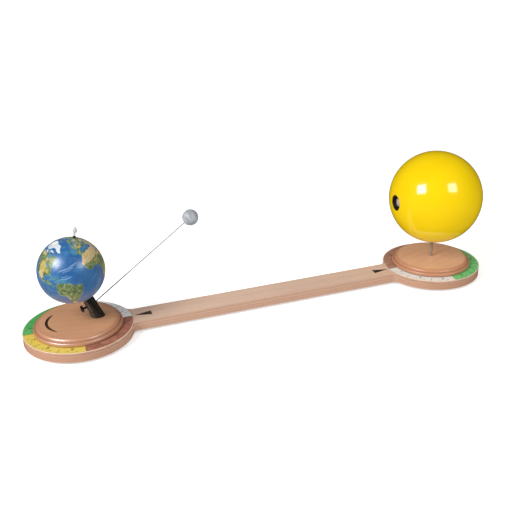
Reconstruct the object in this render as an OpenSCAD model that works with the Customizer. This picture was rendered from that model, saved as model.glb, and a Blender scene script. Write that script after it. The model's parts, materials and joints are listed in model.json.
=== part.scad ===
// Tellurion: a swinging wooden arm with a lamp sun at one end and a tilted globe with its moon at the other.
// The origin is on the sun's axis at table level, +Z up, and the globe stands towards -X.

/* [Overall] */
// Distance between the sun's axis and the globe's turntable
centre_distance = 740; // [640:1:860]
// Tilt of the globe's axis from the vertical, degrees
axial_tilt = 20.5; // [19:0.5:24.5]

/* [Arm] */
// Diameter of the round ends
end_d = 200; // [184:1:220]
// Width of the bar between the round ends
bar_w = 54; // [52:1:62]
// Radius of the fillets where the bar meets the round ends
neck_r = 14; // [8:1:20]
// Height of the arm's underside above the table
ground_gap = 5; // [4.5:0.5:8]
// Thickness of the arm
arm_t = 18; // [17.5:0.5:22]
// Thickness of the bottom cover, let into the arm
cover_t = 3; // [2.5:0.5:3.5]
// Distance of the cover's edge from the arm's edge
cover_inset = 5; // [4:0.5:5.5]
// Depth of the belt channels above the cover
channel_h = 7; // [6.8:0.1:7.2]

/* [Season plates] */
// Thickness of a season plate
plate_t = 4; // [3.5:0.5:4.5]
// Gap between the rim of a season plate and the bar's shoulder
plate_gap = 0.5; // [0.5:0.1:2]
// Chamfer on the rim of a season plate
plate_chamfer = 0.5; // [0.2:0.1:1]

/* [Turned discs] */
// Diameter of a turned disc at its foot
disc_d = 161; // [150:1:168]
// Height of a turned disc
disc_h = 13.5; // [13:0.5:18]
// Height of the half-round bead at the foot
bead_h = 4; // [3:0.5:5]
// Radius of the cove above the bead
cove_r = 3.5; // [2:0.5:4]
// Radius of the curve that the finger groove follows
groove_path_r = 44; // [38:1:46]
// Width of the finger groove
groove_w = 5.2; // [3:0.2:6]
// Angle that the finger groove spans before it runs out at both ends, degrees
groove_angle = 102; // [60:2:130]

/* [Belt drive] */
// Pitch diameter of both pulleys
pulley_pitch_d = 34; // [32:0.5:35]
// Diameter of the round belt
belt_d = 4; // [3:0.2:4.2]
// Thickness of a pulley
pulley_t = 5; // [4.8:0.1:5.2]
// Diameter of the two axles
axle_d = 12; // [11:0.5:13]

/* [Globe] */
// Diameter of the globe
globe_d = 119; // [116:1:126]
// Height of the globe's centre above the season plate
globe_rise = 111.8; // [110:0.2:116]
// Wall thickness of the globe
globe_wall = 2.2; // [1.6:0.2:3]
// Diameter of the axis pin
pin_d = 4; // [3:0.5:5]
// Latitude of the observer figure, degrees
figure_latitude = 57; // [40:1:70]
// Longitude of the observer figure from the sun's side, degrees
figure_longitude = 8; // [-60:1:60]
// Height of the observer figure above its foot
figure_h = 17; // [14:0.5:22]

/* [Globe post] */
// Diameter of the post where it stands on the disc
post_d = 24.5; // [21:0.5:27]
// Diameter of the moon collar
collar_d = 21; // [19:0.5:22]
// Length of the moon collar
collar_h = 18; // [16:0.5:20]
// Height of the middle of the collar above the disc, along the axis
collar_rise = 25; // [23.5:0.5:26]
// Diameter of the journal that the collar turns on
journal_d = 12; // [11:0.5:13]

/* [Moon] */
// Diameter of the moon
moon_d = 29; // [24:1:32]
// Distance of the moon from the globe's axis
moon_orbit_r = 230.5; // [210:0.5:238]
// Angle of the moon arm about the globe's axis, degrees
moon_turn = -8.6; // [-60:0.1:60]
// Diameter of the moon wire
wire_d = 2; // [1.5:0.1:2.6]
// Diameter of the clamp knob
knob_d = 14; // [12:0.5:18]
// Thickness of the clamp knob
knob_t = 3; // [3:0.5:8]

/* [Sun] */
// Diameter of the sun
sun_d = 188; // [184:1:206]
// Height of the sun's centre above the season plate
sun_rise = 144.9; // [140:0.1:160]
// Wall thickness of the sun
sun_wall = 2.5; // [2:0.5:4]
// Diameter of the sun's post
rod_d = 6; // [5:0.5:7]
// Outer diameter of the lamp tube
lamp_d = 32; // [31:0.5:34]
// Depth of the lamp tube's mouth in the sun's surface
lamp_recess = 2; // [1:0.5:4]
// Travel of the lamp's push button
button_travel = 1.5; // [1:0.1:2]

/* [Foot] */
// Diameter of the foot plate
foot_d = 144; // [120:1:148]
// Thickness of the rubber pad under the foot plate
pad_t = 1.5; // [1:0.25:2]
// Diameter of a glide pad
glide_d = 22; // [16:1:26]

/* [Hidden] */
$fn = 96;

eps = 0.01;
// Radial clearances: a turning fit, a fixed seat and faces that pass each other
run_fit = 0.05;
seat_fit = 0.02;
pass_gap = 0.3;

// Heights of the arm's layers above the table
washer_t = 0.5;
z_under = ground_gap;
z_cover_top = z_under + cover_t;
z_channel = z_cover_top + channel_h;
z_top = z_under + arm_t;
z_plate = z_top - plate_t;
z_end = z_plate - washer_t;
z_disc = z_top + disc_h;
end_r = end_d / 2;
relief_r = end_r + plate_gap;
// Depth that a neck fillet bites into the bar and the round end, so that their edges cross cleanly
neck_bite = 0.05;

// Belt drive
pulley_r = pulley_pitch_d / 2;
belt_r = belt_d / 2;
rim_r = pulley_r + 0.45 * belt_d;
pocket_r = pulley_r + belt_d + 2;
bush_wall = 3;
bush_rim = 4;
bush_flange_t = 1;
bush_d = axle_d + 2 * bush_wall;
bush_flange_d = bush_d + 2 * bush_rim;
z_pulley = z_channel - bush_flange_t - 0.4 - pulley_t;
z_belt = z_pulley + pulley_t / 2;

// Hubs that carry the plates and discs on their axles
hub_wall = 4;
hub_rim = 12;
hub_d = axle_d + 2 * hub_wall;
hub_flange_d = hub_d + 2 * hub_rim;
hub_flange_t = 1.8;
hub_top = z_top + 8;
hub_screw_r = (hub_d + hub_flange_d) / 4;
hub_screw_l = 11;

// Countersunk wood screws
screw_d = 3;
screw_head_d = 5.6;
screw_head_h = 1.7;
cover_screw_l = 8;

// Foot
foot_plate_t = ground_gap - washer_t - pad_t;
axle_rim = 10;
axle_flange_d = axle_d + 2 * axle_rim;
axle_flange_t = foot_plate_t / 2;
axle_bore_z = pad_t + axle_flange_t + 1.5;
slip_rim = 24;
slip_d = axle_d + 2 * slip_rim;

// Turned disc
disc_r = disc_d / 2;
round_r = disc_h - bead_h - cove_r;
waist_r = disc_r - bead_h / 2 - cove_r;
flat_r = waist_r - round_r;
groove_shift = 12.4;
// Lean of the ring that cuts the groove, so that the groove runs out at both ends
groove_lean = asin(groove_w / (2 * groove_path_r * (1 - cos(groove_angle / 2))));

// Date pointers let into the bar's top
pointer_l = 33;
pointer_w = 16;
pointer_t = 0.8;
pointer_tip = relief_r + 2.2;

// Globe axis: lengths are along the axis from the globe's centre, north positive
globe_r = globe_d / 2;
z_globe = z_top + globe_rise;
axis_foot = (z_globe - z_disc) / cos(axial_tilt);
collar_mid = collar_rise - axis_foot;
journal_low = collar_mid - collar_h / 2 - 0.3;
journal_high = collar_mid + collar_h / 2 + 0.3;
bush_face = -globe_r - 0.4;
cap_top = bush_face - 0.3;
pole_bush_d = 12;
pin_low = journal_low + 4;
pin_high = globe_r - 4;
post_screw_d = 4;
post_screw_head_d = 9;
post_screw_head_l = 3;
post_screw_sink = 7;
post_screw_low = -axis_foot - post_screw_sink;
// Length of the straight run below the screw's head that lets a driver in
driver_run = 40;

// Moon arm
collar_r = collar_d / 2;
wire_in = journal_d / 2 + 0.8;
// Height of the wire's hole above the middle of the collar
wire_lift = 2.5;
wire_rise = -collar_mid - wire_lift;
wire_run = moon_orbit_r - wire_in;
wire_slope = atan2(wire_rise, wire_run);
wire_to_moon = norm([wire_rise, wire_run]);
moon_bore_l = 0.6 * moon_d / 2;
wire_l = wire_to_moon - moon_d / 2 + moon_bore_l;
clamp_screw_d = 4;
knob_near = collar_r + 7;
// Depth of the screw's seat in the knob
knob_bite = 2;

// Observer figure
foot_ball_d = 5.8;
foot_ball_rise = 1.9;
foot_clear = 0.1;
foot_top = 4.2;
hip_h = 0.44 * figure_h;
shoulder_h = 0.69 * figure_h;
head_d = 0.27 * figure_h;

// Sun and its lamp: lengths are along the lamp's axis from the sun's centre, away from the globe positive
sun_r = sun_d / 2;
z_sun = z_top + sun_rise;
lamp_r = lamp_d / 2;
lamp_wall = 2;
lamp_bore_r = lamp_r - lamp_wall;
lamp_end = sqrt(sun_r * sun_r - lamp_r * lamp_r) - lamp_recess;
bezel_l = 5;
lens_t = 2;
reflector_l = 14;
led_board_t = 1.6;
lens_x = -lamp_end + bezel_l;
reflector_x = lens_x + lens_t;
led_x = reflector_x + reflector_l;
cell_d = 26;
cell_l = 50;
cell_nub_l = 1.5;
cells_x = led_x + led_board_t;
cell_pitch = cell_l + seat_fit;
spring_x = cells_x + cell_pitch + cell_l;
spring_l = 18;
switch_x = spring_x + spring_l;
button_d = 15;
button_in = 8;
button_out = 3;
saddle_d = 20;
rod_top = z_sun - lamp_r - 3;
saddle_drop = 24;
saddle_low = z_sun - lamp_r - saddle_drop;
grommet_d = rod_d + 6;

// Frames that the sub-assemblies are drawn in
module at_earth() {
  translate([-centre_distance, 0, 0])
    children();
}

module at_both_ends() {
  children();
  at_earth()
    children();
}

module along_axis() {
  translate([-centre_distance, 0, z_globe])
    rotate([0, -axial_tilt, 0])
      children();
}

module on_moon_arm() {
  along_axis()
    rotate([0, 0, moon_turn])
      children();
}

module at_figure() {
  along_axis()
    rotate([0, 90 - figure_latitude, figure_longitude])
      children();
}

module along_lamp(x = 0) {
  translate([x, 0, z_sun])
    rotate([0, 90, 0])
      children();
}

module ring(r_out, r_in, h) {
  difference() {
    cylinder(h = h, r = r_out);
    translate([0, 0, -eps])
      cylinder(h = h + 2 * eps, r = r_in);
  }
}

// Countersunk screw with its head flush at z = 0 and its point upwards
module wood_screw(length) {
  difference() {
    union() {
      cylinder(h = screw_head_h, d1 = screw_head_d, d2 = screw_d);
      cylinder(h = length - screw_d, d = screw_d);
      translate([0, 0, length - screw_d])
        cylinder(h = screw_d, d1 = screw_d, d2 = 0.4);
    }
    for (turn = [0, 90])
      rotate(turn)
        translate([-1.5, -0.35, -eps])
          cube([3, 0.7, 1]);
  }
}

module screw_space(length) {
  translate([0, 0, -eps])
    cylinder(h = screw_head_h + eps, d1 = screw_head_d + 0.1, d2 = screw_d + 0.1);
  cylinder(h = length + 0.2, d = screw_d + 0.1);
}

// Outline of the arm: two round ends joined by a bar through filleted necks
module neck_fillet(r, half_w, fillet) {
  rise = half_w + fillet - neck_bite;
  reach = sqrt(pow(r + fillet - neck_bite, 2) - pow(rise, 2));
  difference() {
    polygon([[0, 0], [reach, 0], [reach, rise]]);
    translate([reach, rise])
      circle(r = fillet);
  }
}

module arm_end_outline(inset) {
  circle(r = end_r - inset);
  for (side = [0, 1])
    mirror([0, side, 0])
      mirror([1, 0, 0])
        neck_fillet(end_r - inset, bar_w / 2 - inset, neck_r + inset);
}

module arm_outline(inset = 0) {
  arm_end_outline(inset);
  translate([-centre_distance, 0])
    mirror([1, 0, 0])
      arm_end_outline(inset);
  translate([-centre_distance, -bar_w / 2 + inset])
    square([centre_distance, bar_w - 2 * inset]);
}

// Places of the screws that hold the bottom cover
module at_cover_screws() {
  for (turn = [45:90:315])
    at_both_ends()
      rotate(turn)
        translate([0.82 * end_r, 0, z_under])
          children();
  for (step = [1:5])
    translate([-centre_distance * step / 6, 0, z_under])
      children();
}

module at_glide_pads() {
  at_earth()
    for (turn = [90:90:270])
      rotate(turn)
        translate([0.75 * end_r, 0, 0])
          children();
}

// Foot: a steel plate on a rubber pad, with the fixed axle standing in it
module foot_pad() {
  color("#26262a")
    cylinder(h = pad_t, d = foot_d - 6);
}

module foot_plate() {
  color("#9a9ea3")
    translate([0, 0, pad_t])
      difference() {
        cylinder(h = foot_plate_t, d = foot_d);
        translate([0, 0, -eps])
          cylinder(h = axle_flange_t + eps, r = axle_flange_d / 2 + seat_fit);
        translate([0, 0, -eps])
          cylinder(h = foot_plate_t + 2 * eps, r = axle_d / 2 + seat_fit);
      }
}

module foot_washer() {
  color("#eceae2")
    translate([0, 0, z_under - washer_t])
      ring(slip_d / 2, axle_d / 2 + pass_gap, washer_t);
}

module sun_axle() {
  color("#c3c6c9")
    difference() {
      union() {
        translate([0, 0, pad_t])
          cylinder(h = axle_flange_t, d = axle_flange_d);
        translate([0, 0, pad_t])
          cylinder(h = hub_top - pad_t, d = axle_d);
      }
      translate([0, 0, axle_bore_z])
        cylinder(h = hub_top, r = rod_d / 2 + run_fit);
    }
}

// Grooved pulley drawn about the Z axis
module pulley_body() {
  translate([0, 0, z_pulley])
    difference() {
      cylinder(h = pulley_t, r = rim_r);
      translate([0, 0, pulley_t / 2])
        rotate_extrude()
          translate([pulley_r, 0]) {
            circle(r = belt_r + pass_gap);
            translate([0, -belt_r - pass_gap])
              square([2 * belt_d, 2 * (belt_r + pass_gap)]);
          }
    }
}

module sun_pulley() {
  color("#2b2d30")
    difference() {
      pulley_body();
      cylinder(h = z_top, r = axle_d / 2 + seat_fit);
    }
}

module slip_washer() {
  translate([0, 0, z_end])
    ring(slip_d / 2, axle_d / 2 + pass_gap, washer_t);
}

module sun_slip_washer() {
  color("#eceae2")
    slip_washer();
}

// Flanged hub under a season plate, with its sleeve up in the disc
module hub_body() {
  difference() {
    union() {
      translate([0, 0, z_plate])
        cylinder(h = hub_flange_t, d = hub_flange_d);
      translate([0, 0, z_plate])
        cylinder(h = hub_top - z_plate, d = hub_d);
    }
    translate([0, 0, z_plate - eps])
      cylinder(h = hub_top, r = axle_d / 2 + seat_fit);
    at_hub_screws()
      screw_space(hub_screw_l);
  }
}

module at_hub_screws() {
  for (turn = [60:120:300])
    rotate(turn)
      translate([hub_screw_r, 0, z_plate])
        children();
}

module hub_space() {
  translate([0, 0, z_plate - eps])
    cylinder(h = hub_flange_t + eps, r = hub_flange_d / 2 + seat_fit);
  translate([0, 0, z_plate])
    cylinder(h = hub_top - z_plate, r = hub_d / 2 + seat_fit);
  at_hub_screws()
    screw_space(hub_screw_l);
}

module sun_hub() {
  color("#b4b7ba")
    hub_body();
}

module sun_hub_screws() {
  color("#d8c27a")
    at_hub_screws()
      wood_screw(hub_screw_l);
}

module plate_body() {
  difference() {
    translate([0, 0, z_plate])
      rotate_extrude()
        polygon([
          [0, 0],
          [end_r - plate_chamfer, 0],
          [end_r, plate_chamfer],
          [end_r, plate_t - plate_chamfer],
          [end_r - plate_chamfer, plate_t],
          [0, plate_t]
        ]);
    hub_space();
  }
}

module sun_season_plate() {
  color("#e9dcc0")
    plate_body();
}

// Moulded edge of a turned disc: bead at the foot, cove, then a large roundover
module disc_profile() {
  square([flat_r, disc_h]);
  square([waist_r, disc_h - round_r]);
  square([disc_r - bead_h / 2, bead_h]);
  translate([disc_r - bead_h / 2, bead_h / 2])
    circle(d = bead_h);
  difference() {
    square([waist_r + cove_r, bead_h + cove_r]);
    translate([waist_r + cove_r, bead_h + cove_r])
      circle(r = cove_r);
  }
  translate([flat_r, disc_h - round_r])
    intersection() {
      circle(r = round_r);
      square(round_r);
    }
}

module disc_body() {
  difference() {
    translate([0, 0, z_top])
      rotate_extrude()
        intersection() {
          disc_profile();
          square([disc_d, disc_h]);
        }
    hub_space();
  }
}

module sun_disc() {
  color("#c8966f")
    difference() {
      disc_body();
      cylinder(h = 2 * z_disc, r = rod_d / 2 + pass_gap);
    }
}

// Arm: plywood board with let-down round ends, routed from below for the belt
module belt_channels() {
  translate([0, 0, z_cover_top - eps])
    linear_extrude(channel_h + eps) {
      circle(r = pocket_r);
      translate([-centre_distance, 0])
        circle(r = pocket_r);
      for (side = [-1, 1])
        translate([-centre_distance, side * pulley_r - belt_d])
          square([centre_distance, 2 * belt_d]);
    }
}

module pointer_outline(grow = 0) {
  polygon([
    [-pointer_tip + grow, 0],
    [-pointer_tip - pointer_l - grow, pointer_w / 2 + grow],
    [-pointer_tip - pointer_l - grow, -pointer_w / 2 - grow]
  ]);
}

module both_pointers(h, grow) {
  translate([0, 0, z_top - pointer_t])
    linear_extrude(h) {
      pointer_outline(grow);
      translate([-centre_distance, 0])
        mirror([1, 0, 0])
          pointer_outline(grow);
    }
}

module arm_board() {
  color("#d4b49f")
    difference() {
      translate([0, 0, z_under])
        linear_extrude(arm_t)
          arm_outline();
      translate([0, 0, z_under - eps])
        linear_extrude(cover_t + eps)
          arm_outline(cover_inset - 0.1);
      belt_channels();
      at_both_ends() {
        translate([0, 0, z_end])
          cylinder(h = arm_t, r = relief_r);
        cylinder(h = z_top, r = bush_d / 2 + seat_fit);
      }
      at_cover_screws()
        screw_space(cover_screw_l);
      both_pointers(pointer_t + eps, 0.05);
    }
}

module arm_cover() {
  color("#cfae92")
    difference() {
      translate([0, 0, z_under])
        linear_extrude(cover_t)
          arm_outline(cover_inset);
      translate([0, 0, z_under - eps])
        cylinder(h = cover_t + 2 * eps, r = bush_d / 2 + seat_fit);
      at_cover_screws()
        screw_space(cover_screw_l);
    }
}

module cover_screws() {
  color("#d8c27a")
    at_cover_screws()
      wood_screw(cover_screw_l);
}

module cover_bush() {
  color("#eceae2")
    translate([0, 0, z_under])
      ring(bush_d / 2, axle_d / 2 + run_fit, cover_t);
}

module flanged_bush() {
  difference() {
    union() {
      translate([0, 0, z_channel - bush_flange_t])
        cylinder(h = bush_flange_t, d = bush_flange_d);
      translate([0, 0, z_channel - bush_flange_t])
        cylinder(h = z_end - z_channel + bush_flange_t, d = bush_d);
    }
    cylinder(h = z_top, r = axle_d / 2 + run_fit);
  }
}

module sun_bush() {
  color("#eceae2")
    flanged_bush();
}

module earth_bush() {
  color("#eceae2")
    at_earth()
      flanged_bush();
}

// Round belt: two straight runs joined by a half ring on each pulley
module drive_belt() {
  color("#3a332e")
    translate([0, 0, z_belt]) {
      for (side = [-1, 1])
        translate([-centre_distance, side * pulley_r, 0])
          rotate([0, 90, 0])
            cylinder(h = centre_distance, r = belt_r);
      rotate([0, 0, -90])
        rotate_extrude(angle = 180)
          translate([pulley_r, 0])
            circle(r = belt_r);
      translate([-centre_distance, 0, 0])
        rotate([0, 0, 90])
          rotate_extrude(angle = 180)
            translate([pulley_r, 0])
              circle(r = belt_r);
    }
}

module glide_pads() {
  color("#6d6a66")
    at_glide_pads()
      cylinder(h = ground_gap, d = glide_d);
}

module date_pointers() {
  color("#2c2320")
    both_pointers(pointer_t, 0);
}

// Turntable of the globe
module earth_axle() {
  color("#c3c6c9")
    at_earth()
      difference() {
        translate([0, 0, z_pulley + hub_flange_t])
          cylinder(h = hub_top - z_pulley - hub_flange_t, d = axle_d);
        translate([0, 0, z_pulley])
          screw_space(hub_screw_l);
      }
}

module earth_pulley() {
  color("#2b2d30")
    at_earth()
      difference() {
        pulley_body();
        translate([0, 0, z_pulley + hub_flange_t])
          cylinder(h = z_top, r = axle_d / 2 + seat_fit);
        translate([0, 0, z_pulley])
          screw_space(hub_screw_l);
      }
}

module pulley_screw() {
  color("#d8c27a")
    at_earth()
      translate([0, 0, z_pulley])
        wood_screw(hub_screw_l);
}

module earth_slip_washer() {
  color("#eceae2")
    at_earth()
      slip_washer();
}

module earth_hub() {
  color("#b4b7ba")
    at_earth()
      hub_body();
}

module earth_hub_screws() {
  color("#d8c27a")
    at_earth()
      at_hub_screws()
        wood_screw(hub_screw_l);
}

module earth_season_plate() {
  color("#e9dcc0")
    at_earth()
      plate_body();
}

// Curved finger groove in the disc's top, on the side away from the sun
module finger_groove() {
  translate([-groove_shift, 0, z_disc + groove_path_r * sin(groove_lean)])
    rotate([0, -groove_lean, 0])
      rotate_extrude()
        translate([groove_path_r, 0])
          circle(d = groove_w, $fn = 48);
}

module post_screw_space() {
  along_axis() {
    translate([0, 0, post_screw_low - driver_run])
      cylinder(h = driver_run + post_screw_head_l, r = post_screw_head_d / 2 + 0.2);
    translate([0, 0, post_screw_low])
      cylinder(h = pin_low - post_screw_low - 2, r = post_screw_d / 2 + seat_fit);
  }
}

module earth_disc() {
  color("#c8966f")
    difference() {
      at_earth()
        disc_body();
      at_earth()
        finger_groove();
      post_screw_space();
    }
}

// Leaning post, cut level where it stands on the disc
module globe_post() {
  color("#17181a")
    difference() {
      along_axis() {
        translate([0, 0, -axis_foot - post_d / 2])
          cylinder(h = journal_low + axis_foot + post_d / 2, d1 = post_d + 1, d2 = collar_d + 0.6);
        cylinder_between(journal_low - 1, journal_high, journal_d);
      }
      translate([-centre_distance, -post_d, z_disc - 2 * post_d])
        cube([4 * post_d, 2 * post_d, 2 * post_d]);
      post_screw_space();
      along_axis()
        cylinder_between(pin_low, pin_high, pin_d + 2 * seat_fit);
    }
}

module cylinder_between(low, high, d) {
  translate([0, 0, low])
    cylinder(h = high - low, d = d);
}

module post_screw() {
  color("#8d9094")
    along_axis()
      difference() {
        union() {
          cylinder_between(post_screw_low, post_screw_low + post_screw_head_l, post_screw_head_d);
          cylinder_between(post_screw_low, pin_low - 3, post_screw_d);
        }
        translate([0, 0, post_screw_low - eps])
          cylinder(h = 1.8, d = 4.6, $fn = 6);
      }
}

module axis_pin() {
  color("#c3c6c9")
    along_axis()
      cylinder_between(pin_low, pin_high, pin_d);
}

module post_cap() {
  color("#17181a")
    along_axis()
      difference() {
        translate([0, 0, journal_high])
          cylinder(h = cap_top - journal_high, d1 = collar_d, d2 = collar_d - 2);
        cylinder_between(journal_high - eps, cap_top + eps, pin_d + 2 * seat_fit);
      }
}

// Moon arm: collar on the post's journal, a straight wire and the moon
module along_wire() {
  on_moon_arm()
    translate([wire_in, 0, collar_mid + wire_lift])
      rotate([0, 90 - wire_slope, 0])
        children();
}

module along_clamp() {
  on_moon_arm()
    translate([0, 0, collar_mid])
      rotate([0, -90, 0])
        children();
}

module moon_collar() {
  color("#1b1c1e")
    difference() {
      on_moon_arm()
        translate([0, 0, collar_mid - collar_h / 2])
          ring(collar_r, journal_d / 2 + run_fit, collar_h);
      along_wire()
        cylinder(h = 3 * collar_r, r = wire_d / 2 + seat_fit);
      along_clamp()
        cylinder(h = 3 * collar_r, r = clamp_screw_d / 2 + run_fit);
    }
}

module moon_wire() {
  color("#b9bcc0")
    along_wire()
      cylinder(h = wire_l, r = wire_d / 2);
}

module moon_ball() {
  color("#b9bec3")
    difference() {
      on_moon_arm()
        translate([moon_orbit_r, 0, 0])
          sphere(d = moon_d);
      along_wire()
        cylinder(h = wire_l, r = wire_d / 2 + seat_fit);
    }
}

module clamp_screw() {
  color("#8d9094")
    along_clamp()
      translate([0, 0, journal_d / 2 + pass_gap])
        cylinder(h = knob_near + knob_bite - journal_d / 2 - pass_gap, d = clamp_screw_d);
}

// Round knob with a scalloped grip
module clamp_knob() {
  color("#17181a")
    along_clamp()
      translate([0, 0, knob_near])
        difference() {
          rotate_extrude()
            polygon([
              [0, 0],
              [knob_d / 2 - 0.6, 0],
              [knob_d / 2, 0.6],
              [knob_d / 2, knob_t - 1],
              [knob_d / 2 - 1, knob_t],
              [0, knob_t]
            ]);
          translate([0, 0, -eps])
            cylinder(h = knob_bite + eps, r = clamp_screw_d / 2 + seat_fit);
          for (turn = [0:30:330])
            rotate(turn)
              translate([knob_d / 2 + 0.9, 0, -eps])
                cylinder(h = knob_t + 2 * eps, r = 1.5, $fn = 24);
        }
}

// Globe: two halves lapped at the equator, turning on the axis pin
module half_shell() {
  difference() {
    sphere(r = globe_r);
    sphere(r = globe_r - globe_wall);
    translate([0, 0, -2 * globe_r])
      cylinder(h = 2 * globe_r, r = 2 * globe_r);
    cylinder(h = 2 * globe_r, r = pole_bush_d / 2 + seat_fit);
  }
}

module globe_north_half() {
  color("#3f7fb5")
    along_axis()
      half_shell();
}

module globe_south_half() {
  color("#3a74ad")
    along_axis() {
      mirror([0, 0, 1])
        half_shell();
      lap_r = globe_r - globe_wall - 0.1;
      translate([0, 0, -3])
        difference() {
          cylinder(h = 3, r = globe_r - globe_wall / 2);
          translate([0, 0, -eps])
            cylinder(h = 3 + 2 * eps, r = lap_r - 1.4);
        }
      translate([0, 0, -eps])
        ring(lap_r, lap_r - 1.4, 3);
    }
}

module north_bush() {
  color("#eceae2")
    along_axis()
      difference() {
        intersection() {
          cylinder_between(globe_r - 12, globe_r, pole_bush_d);
          sphere(r = globe_r);
        }
        cylinder_between(globe_r - 13, pin_high, pin_d + 2 * run_fit);
      }
}

module south_bush() {
  color("#eceae2")
    along_axis()
      difference() {
        cylinder_between(bush_face, 12 - globe_r, pole_bush_d);
        cylinder_between(bush_face - eps, 13 - globe_r, pin_d + 2 * run_fit);
      }
}

// Observer figure standing on the globe
module figure_foot() {
  color("#1b1c1e")
    difference() {
      at_figure()
        translate([0, 0, globe_r])
          intersection() {
            translate([0, 0, foot_ball_rise])
              sphere(d = foot_ball_d);
            translate([0, 0, -1])
              cylinder(h = foot_top + 1, d = foot_ball_d);
          }
      along_axis()
        sphere(r = globe_r + foot_clear);
    }
}

// Standing person: base, two legs, trunk, head and two hanging arms
module figure_body() {
  color("#e4e6e8")
    at_figure()
      translate([0, 0, globe_r + foot_top]) {
        cylinder(h = 0.9, r = 2.1);
        for (side = [-1, 1])
          translate([side * 1.05, 0, 0.5])
            cylinder(h = hip_h, r1 = 0.85, r2 = 1.15, $fn = 32);
        translate([0, 0, hip_h - 0.6])
          rotate_extrude()
            polygon([
              [0, 0],
              [1.7, 0],
              [2, 0.9],
              [2.5, shoulder_h - hip_h],
              [2.1, shoulder_h - hip_h + 1.3],
              [0.9, shoulder_h - hip_h + 1.9],
              [0.9, shoulder_h - hip_h + 3],
              [0, shoulder_h - hip_h + 3]
            ]);
        translate([0, 0, figure_h - head_d / 2])
          sphere(d = head_d);
        for (side = [-1, 1])
          translate([side * 2.75, 0, shoulder_h])
            rotate([0, 180 - side * 7, 0]) {
              cylinder(h = 0.33 * figure_h, r1 = 1, r2 = 0.75, $fn = 32);
              sphere(r = 1.05, $fn = 32);
              translate([0, 0, 0.33 * figure_h])
                sphere(r = 0.85, $fn = 32);
            }
      }
}

// Sun: hollow ball on its post, with a lamp tube right through it
module sun_rod() {
  color("#c3c6c9")
    translate([0, 0, axle_bore_z])
      cylinder(h = rod_top - axle_bore_z, d = rod_d);
}

module sun_shell() {
  color("#f5cf0e")
    difference() {
      translate([0, 0, z_sun])
        sphere(r = sun_r);
      translate([0, 0, z_sun])
        sphere(r = sun_r - sun_wall);
      along_lamp(-sun_d)
        cylinder(h = 2 * sun_d, r = lamp_r + seat_fit);
      translate([0, 0, z_sun - sun_d])
        cylinder(h = sun_d, r = grommet_d / 2 + seat_fit);
    }
}

module rod_grommet() {
  color("#3c3d40")
    translate([0, 0, z_sun - sun_r - 0.5])
      ring(grommet_d / 2, rod_d / 2 + seat_fit, sun_wall + 3);
}

module rod_saddle() {
  color("#26272a")
    difference() {
      translate([0, 0, saddle_low])
        cylinder(h = z_sun - lamp_r / 2 - saddle_low, d = saddle_d);
      along_lamp(-sun_r)
        cylinder(h = sun_d, r = lamp_r + seat_fit);
      translate([0, 0, saddle_low - eps])
        cylinder(h = rod_top - saddle_low + eps, r = rod_d / 2 + seat_fit);
    }
}

module lamp_tube() {
  color("#1d1e20")
    along_lamp(-lamp_end)
      ring(lamp_r, lamp_bore_r, 2 * lamp_end);
}

module lamp_bezel() {
  color("#17181a")
    along_lamp(-lamp_end)
      difference() {
        cylinder(h = bezel_l, r = lamp_bore_r - seat_fit);
        translate([0, 0, -eps])
          cylinder(h = bezel_l + 2 * eps, r1 = lamp_bore_r - 0.8, r2 = lamp_bore_r - 1.8);
      }
}

module lamp_lens() {
  color("#cfd8de", 0.5)
    along_lamp(lens_x)
      cylinder(h = lens_t, r = lamp_bore_r - seat_fit);
}

// Bowl of revolution that follows a parabola from the lens back to the light source
function bowl_r(x) = 3.4 + (lamp_bore_r - 5) * sqrt(1 - x / reflector_l);

module lamp_reflector() {
  steps = 10;
  inner = [for (i = [0:steps]) [bowl_r(reflector_l * i / steps), reflector_l * i / steps]];
  outer = [for (i = [steps:-1:0]) [bowl_r(reflector_l * i / steps) + 1, reflector_l * i / steps]];
  color("#c9ccd0")
    along_lamp(reflector_x)
      rotate_extrude()
        polygon(concat(inner, outer));
}

module lamp_led() {
  color("#e8d98a")
    along_lamp(led_x) {
      cylinder(h = led_board_t, r = lamp_bore_r - seat_fit);
      translate([0, 0, -1])
        cylinder(h = 1 + eps, r = 2.6);
      translate([0, 0, -1])
        sphere(r = 2);
    }
}

module battery_cells() {
  color("#3d6b4c")
    for (i = [0, 1])
      along_lamp(cells_x + i * cell_pitch) {
        cylinder(h = cell_nub_l + eps, d = 6.4);
        translate([0, 0, cell_nub_l])
          cylinder(h = cell_l - cell_nub_l, d = cell_d);
      }
}

// Conical contact spring swept along a helix, with ground ends
spring_wire_r = 0.6;
spring_turns = 5;
spring_sides = 8;
spring_steps = 18;
function spring_at(t) =
  let (r = 10.5 - 3.5 * t, a = 360 * spring_turns * t)
  [r * cos(a), r * sin(a), spring_wire_r + (spring_l - 2 * spring_wire_r) * t];
function spring_ring(t) =
  let (a = 360 * spring_turns * t, p = spring_at(t))
  [
    for (k = [0:spring_sides - 1])
      let (b = 360 * k / spring_sides)
      p + spring_wire_r * [cos(b) * cos(a), cos(b) * sin(a), sin(b)]
  ];

module battery_spring() {
  rings = spring_turns * spring_steps;
  points = [for (i = [0:rings]) each spring_ring(i / rings)];
  sides = [
    for (i = [0:rings - 1])
      for (k = [0:spring_sides - 1])
        let (n = (k + 1) % spring_sides, low = i * spring_sides, high = low + spring_sides)
        each [[low + k, low + n, high + n], [low + k, high + n, high + k]]
  ];
  first = [for (k = [spring_sides - 1:-1:0]) k];
  last = [for (k = [0:spring_sides - 1]) rings * spring_sides + k];
  color("#b9bcc0")
    along_lamp(spring_x)
      polyhedron(points = points, faces = concat(sides, [first], [last]));
}

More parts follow.
